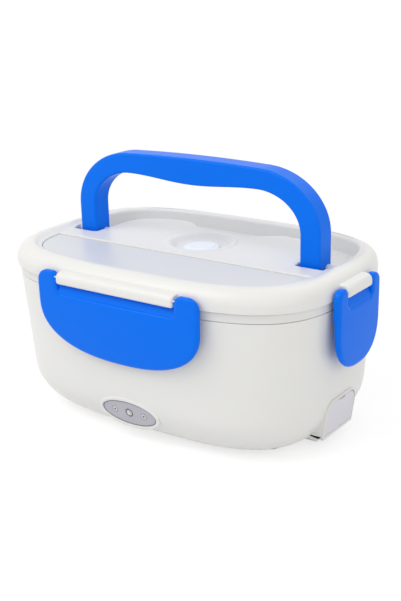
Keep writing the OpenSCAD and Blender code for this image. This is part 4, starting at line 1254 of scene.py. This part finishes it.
@dataclass
class Studio:
    """The camera of the photograph, soft lamps and a white floor."""

    azimuth: float = 36.2
    elevation: float = 19.8
    roll: float = -1.6
    distance: float = 709.0
    aim: float = 60.0
    focal_px: float = 1051.6
    shift_px: tuple[float, float] = (-5.9, 19.4)
    tall_px: float = 601.0
    sensor: float = 36.0
    floor_lit: float = 0.4
    floor_glow: float = 0.68
    floor_half: float = 4.0
    shadow: tuple[float, float] = (0.2, 0.42)
    lamp_size: float = 1.2

    def camera(self) -> None:
        """Sets the camera: f looks at the box, right and up are rolled about it."""
        a, e, roll = (math.radians(v) for v in (self.azimuth, self.elevation, self.roll))
        f = Vector((-math.sin(a) * math.cos(e), math.cos(a) * math.cos(e), -math.sin(e)))
        right = Vector((math.cos(a), math.sin(a), 0.0))
        up = right.cross(f)
        x = right * math.cos(roll) + up * math.sin(roll)
        y = up * math.cos(roll) - right * math.sin(roll)
        data = bpy.data.cameras.new("photo_camera")
        data.sensor_width = self.sensor
        data.lens = self.focal_px / self.tall_px * self.sensor
        data.shift_x = -self.shift_px[0] / self.tall_px
        data.shift_y = self.shift_px[1] / self.tall_px
        data.clip_start = 0.01
        camera = place_object("photo_camera", data)
        turn = Matrix((x, y, -f)).transposed().to_4x4()
        turn.translation = (Vector((0, 0, self.aim)) - f * self.distance) * MM
        camera.matrix_world = turn
        bpy.context.scene.camera = camera

    def lamp(self, name: str, place: tuple[float, float, float], power: float) -> None:
        """Adds a square area lamp aimed at the middle of the box."""
        data = bpy.data.lights.new(name, "AREA")
        data.size = self.lamp_size
        data.energy = power
        lamp = place_object(name, data)
        lamp.location = place
        aim = Vector((0, 0, self.aim * MM)) - Vector(place)
        lamp.rotation_euler = aim.to_track_quat("-Z", "Y").to_euler()

    def seen_white(self, tree: bpy.types.NodeTree) -> bpy.types.NodeSocket:
        """A mask that is 1 for rays from the camera, from gloss and through glass."""
        path = add_node(tree, "LightPath", {})
        seen = path["Is Camera Ray"]
        for label in ("Is Glossy Ray", "Is Transmission Ray"):
            seen = add_node(tree, "Math", {0: seen, 1: path[label]}, operation="MAXIMUM")[0]
        return seen

    def world(self) -> None:
        """A soft grey surrounding light behind a white picture."""
        world = bpy.data.worlds.new("studio")
        bpy.context.scene.world = world
        world.use_nodes = True
        tree = world.node_tree
        tree.nodes.clear()
        light = add_node(tree, "Background", {"Color": (1.0, 1.0, 0.995, 1.0), "Strength": 0.7})
        white = add_node(tree, "Background", {"Color": (1.0, 1.0, 1.0, 1.0)})
        mix = add_node(tree, "MixShader", {"Fac": self.seen_white(tree), 1: light[0], 2: white[0]})
        add_node(tree, "OutputWorld", {"Surface": mix[0]})

    def floor_material(self) -> bpy.types.Material:
        """A pale floor that the picture shows white, with the box's shadow kept near the box.

        For rays from the camera it is half lit and half glowing; beyond the shadow it only glows.
        """
        made = bpy.data.materials.new("floor_white")
        made.use_nodes = True
        tree = made.node_tree
        plain = tree.nodes["Principled BSDF"]
        fit(tree, plain, {"Base Color": (0.83, 0.83, 0.84, 1.0), "Roughness": 0.8})
        lit = add_node(tree, "BsdfDiffuse", {"Color": (*(self.floor_lit,) * 3, 1.0)})
        glow = add_node(tree, "Emission", {"Strength": self.floor_glow})
        white = add_node(tree, "Emission", {})
        near = add_node(tree, "AddShader", {0: lit[0], 1: glow[0]})
        where = add_node(tree, "TexCoord", {})
        length = add_node(tree, "VectorMath", {0: where["Object"]}, operation="LENGTH")
        span = {"Value": length["Value"], "From Min": self.shadow[0], "From Max": self.shadow[1]}
        fade = add_node(tree, "MapRange", span, interpolation_type="SMOOTHSTEP")
        shown = add_node(tree, "MixShader", {"Fac": fade["Result"], 1: near[0], 2: white[0]})
        seen = {"Fac": self.seen_white(tree), 1: plain.outputs[0], 2: shown[0]}
        whole = add_node(tree, "MixShader", seen)
        fit(tree, tree.nodes["Material Output"], {"Surface": whole[0]})
        return made

    def floor(self) -> None:
        """A wide pale floor under the box."""
        mesh = bpy.data.meshes.new("floor")
        size = self.floor_half
        square = [(-size, -size, 0), (size, -size, 0), (size, size, 0), (-size, size, 0)]
        mesh.from_pydata(square, [], [(0, 1, 2, 3)])
        mesh.materials.append(self.floor_material())
        floor = place_object("floor", mesh)
        floor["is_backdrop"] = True

    def build(self) -> None:
        """Sets up camera, world, floor and lamps."""
        self.camera()
        self.world()
        self.floor()
        self.lamp("key_lamp", (-0.7, -1.0, 1.5), 13.2)
        self.lamp("fill_lamp", (1.3, -0.6, 0.8), 3.0)
        self.lamp("back_lamp", (0.2, 1.2, 1.4), 3.5)
        bpy.context.scene.view_settings.view_transform = "Standard"


def corners() -> list[list[float]]:
    """The shown object's lowest and highest corner as plain lists."""
    return [list(corner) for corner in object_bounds()]


def main() -> None:
    """Builds every piece in order."""
    logging.basicConfig(level=logging.INFO, format="%(message)s")
    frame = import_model()
    shape = Shape()
    BaseMoulding(shape).build()
    LidMoulding(shape).build()
    Handle().build()
    wide = dict(
        reach=shape.half_w, half=62.0, ear=16.5, drop=33.0, rib_half=38.0, plan_radius=1370.0,
        pin_half=48.0, bow=3.4, top=108.5, ear_round=7.5, ear_chamfer=3.2, low=55.3, proud=5.0,
    )
    narrow = dict(
        reach=shape.half_l, half=26.0, ear=10.5, drop=26.0, rib_half=11.0, plan_radius=900.0,
        pin_half=18.0, bow=0.4, top=107.7, ear_round=5.5, ear_chamfer=2.4, low=54.8, proud=5.9,
    )
    Latch("latch_front", Body.FRONT, 0, **wide).build()
    Latch("latch_back", Body.BACK, 180, **wide).build()
    Latch("latch_right", Body.RIGHT, 90, **narrow).build()
    Latch("latch_left", Body.LEFT, 270, **narrow).build()
    Spoon().build()
    dress(frame["nodes"])
    Studio().build()


if __name__ == "__main__":
    main()
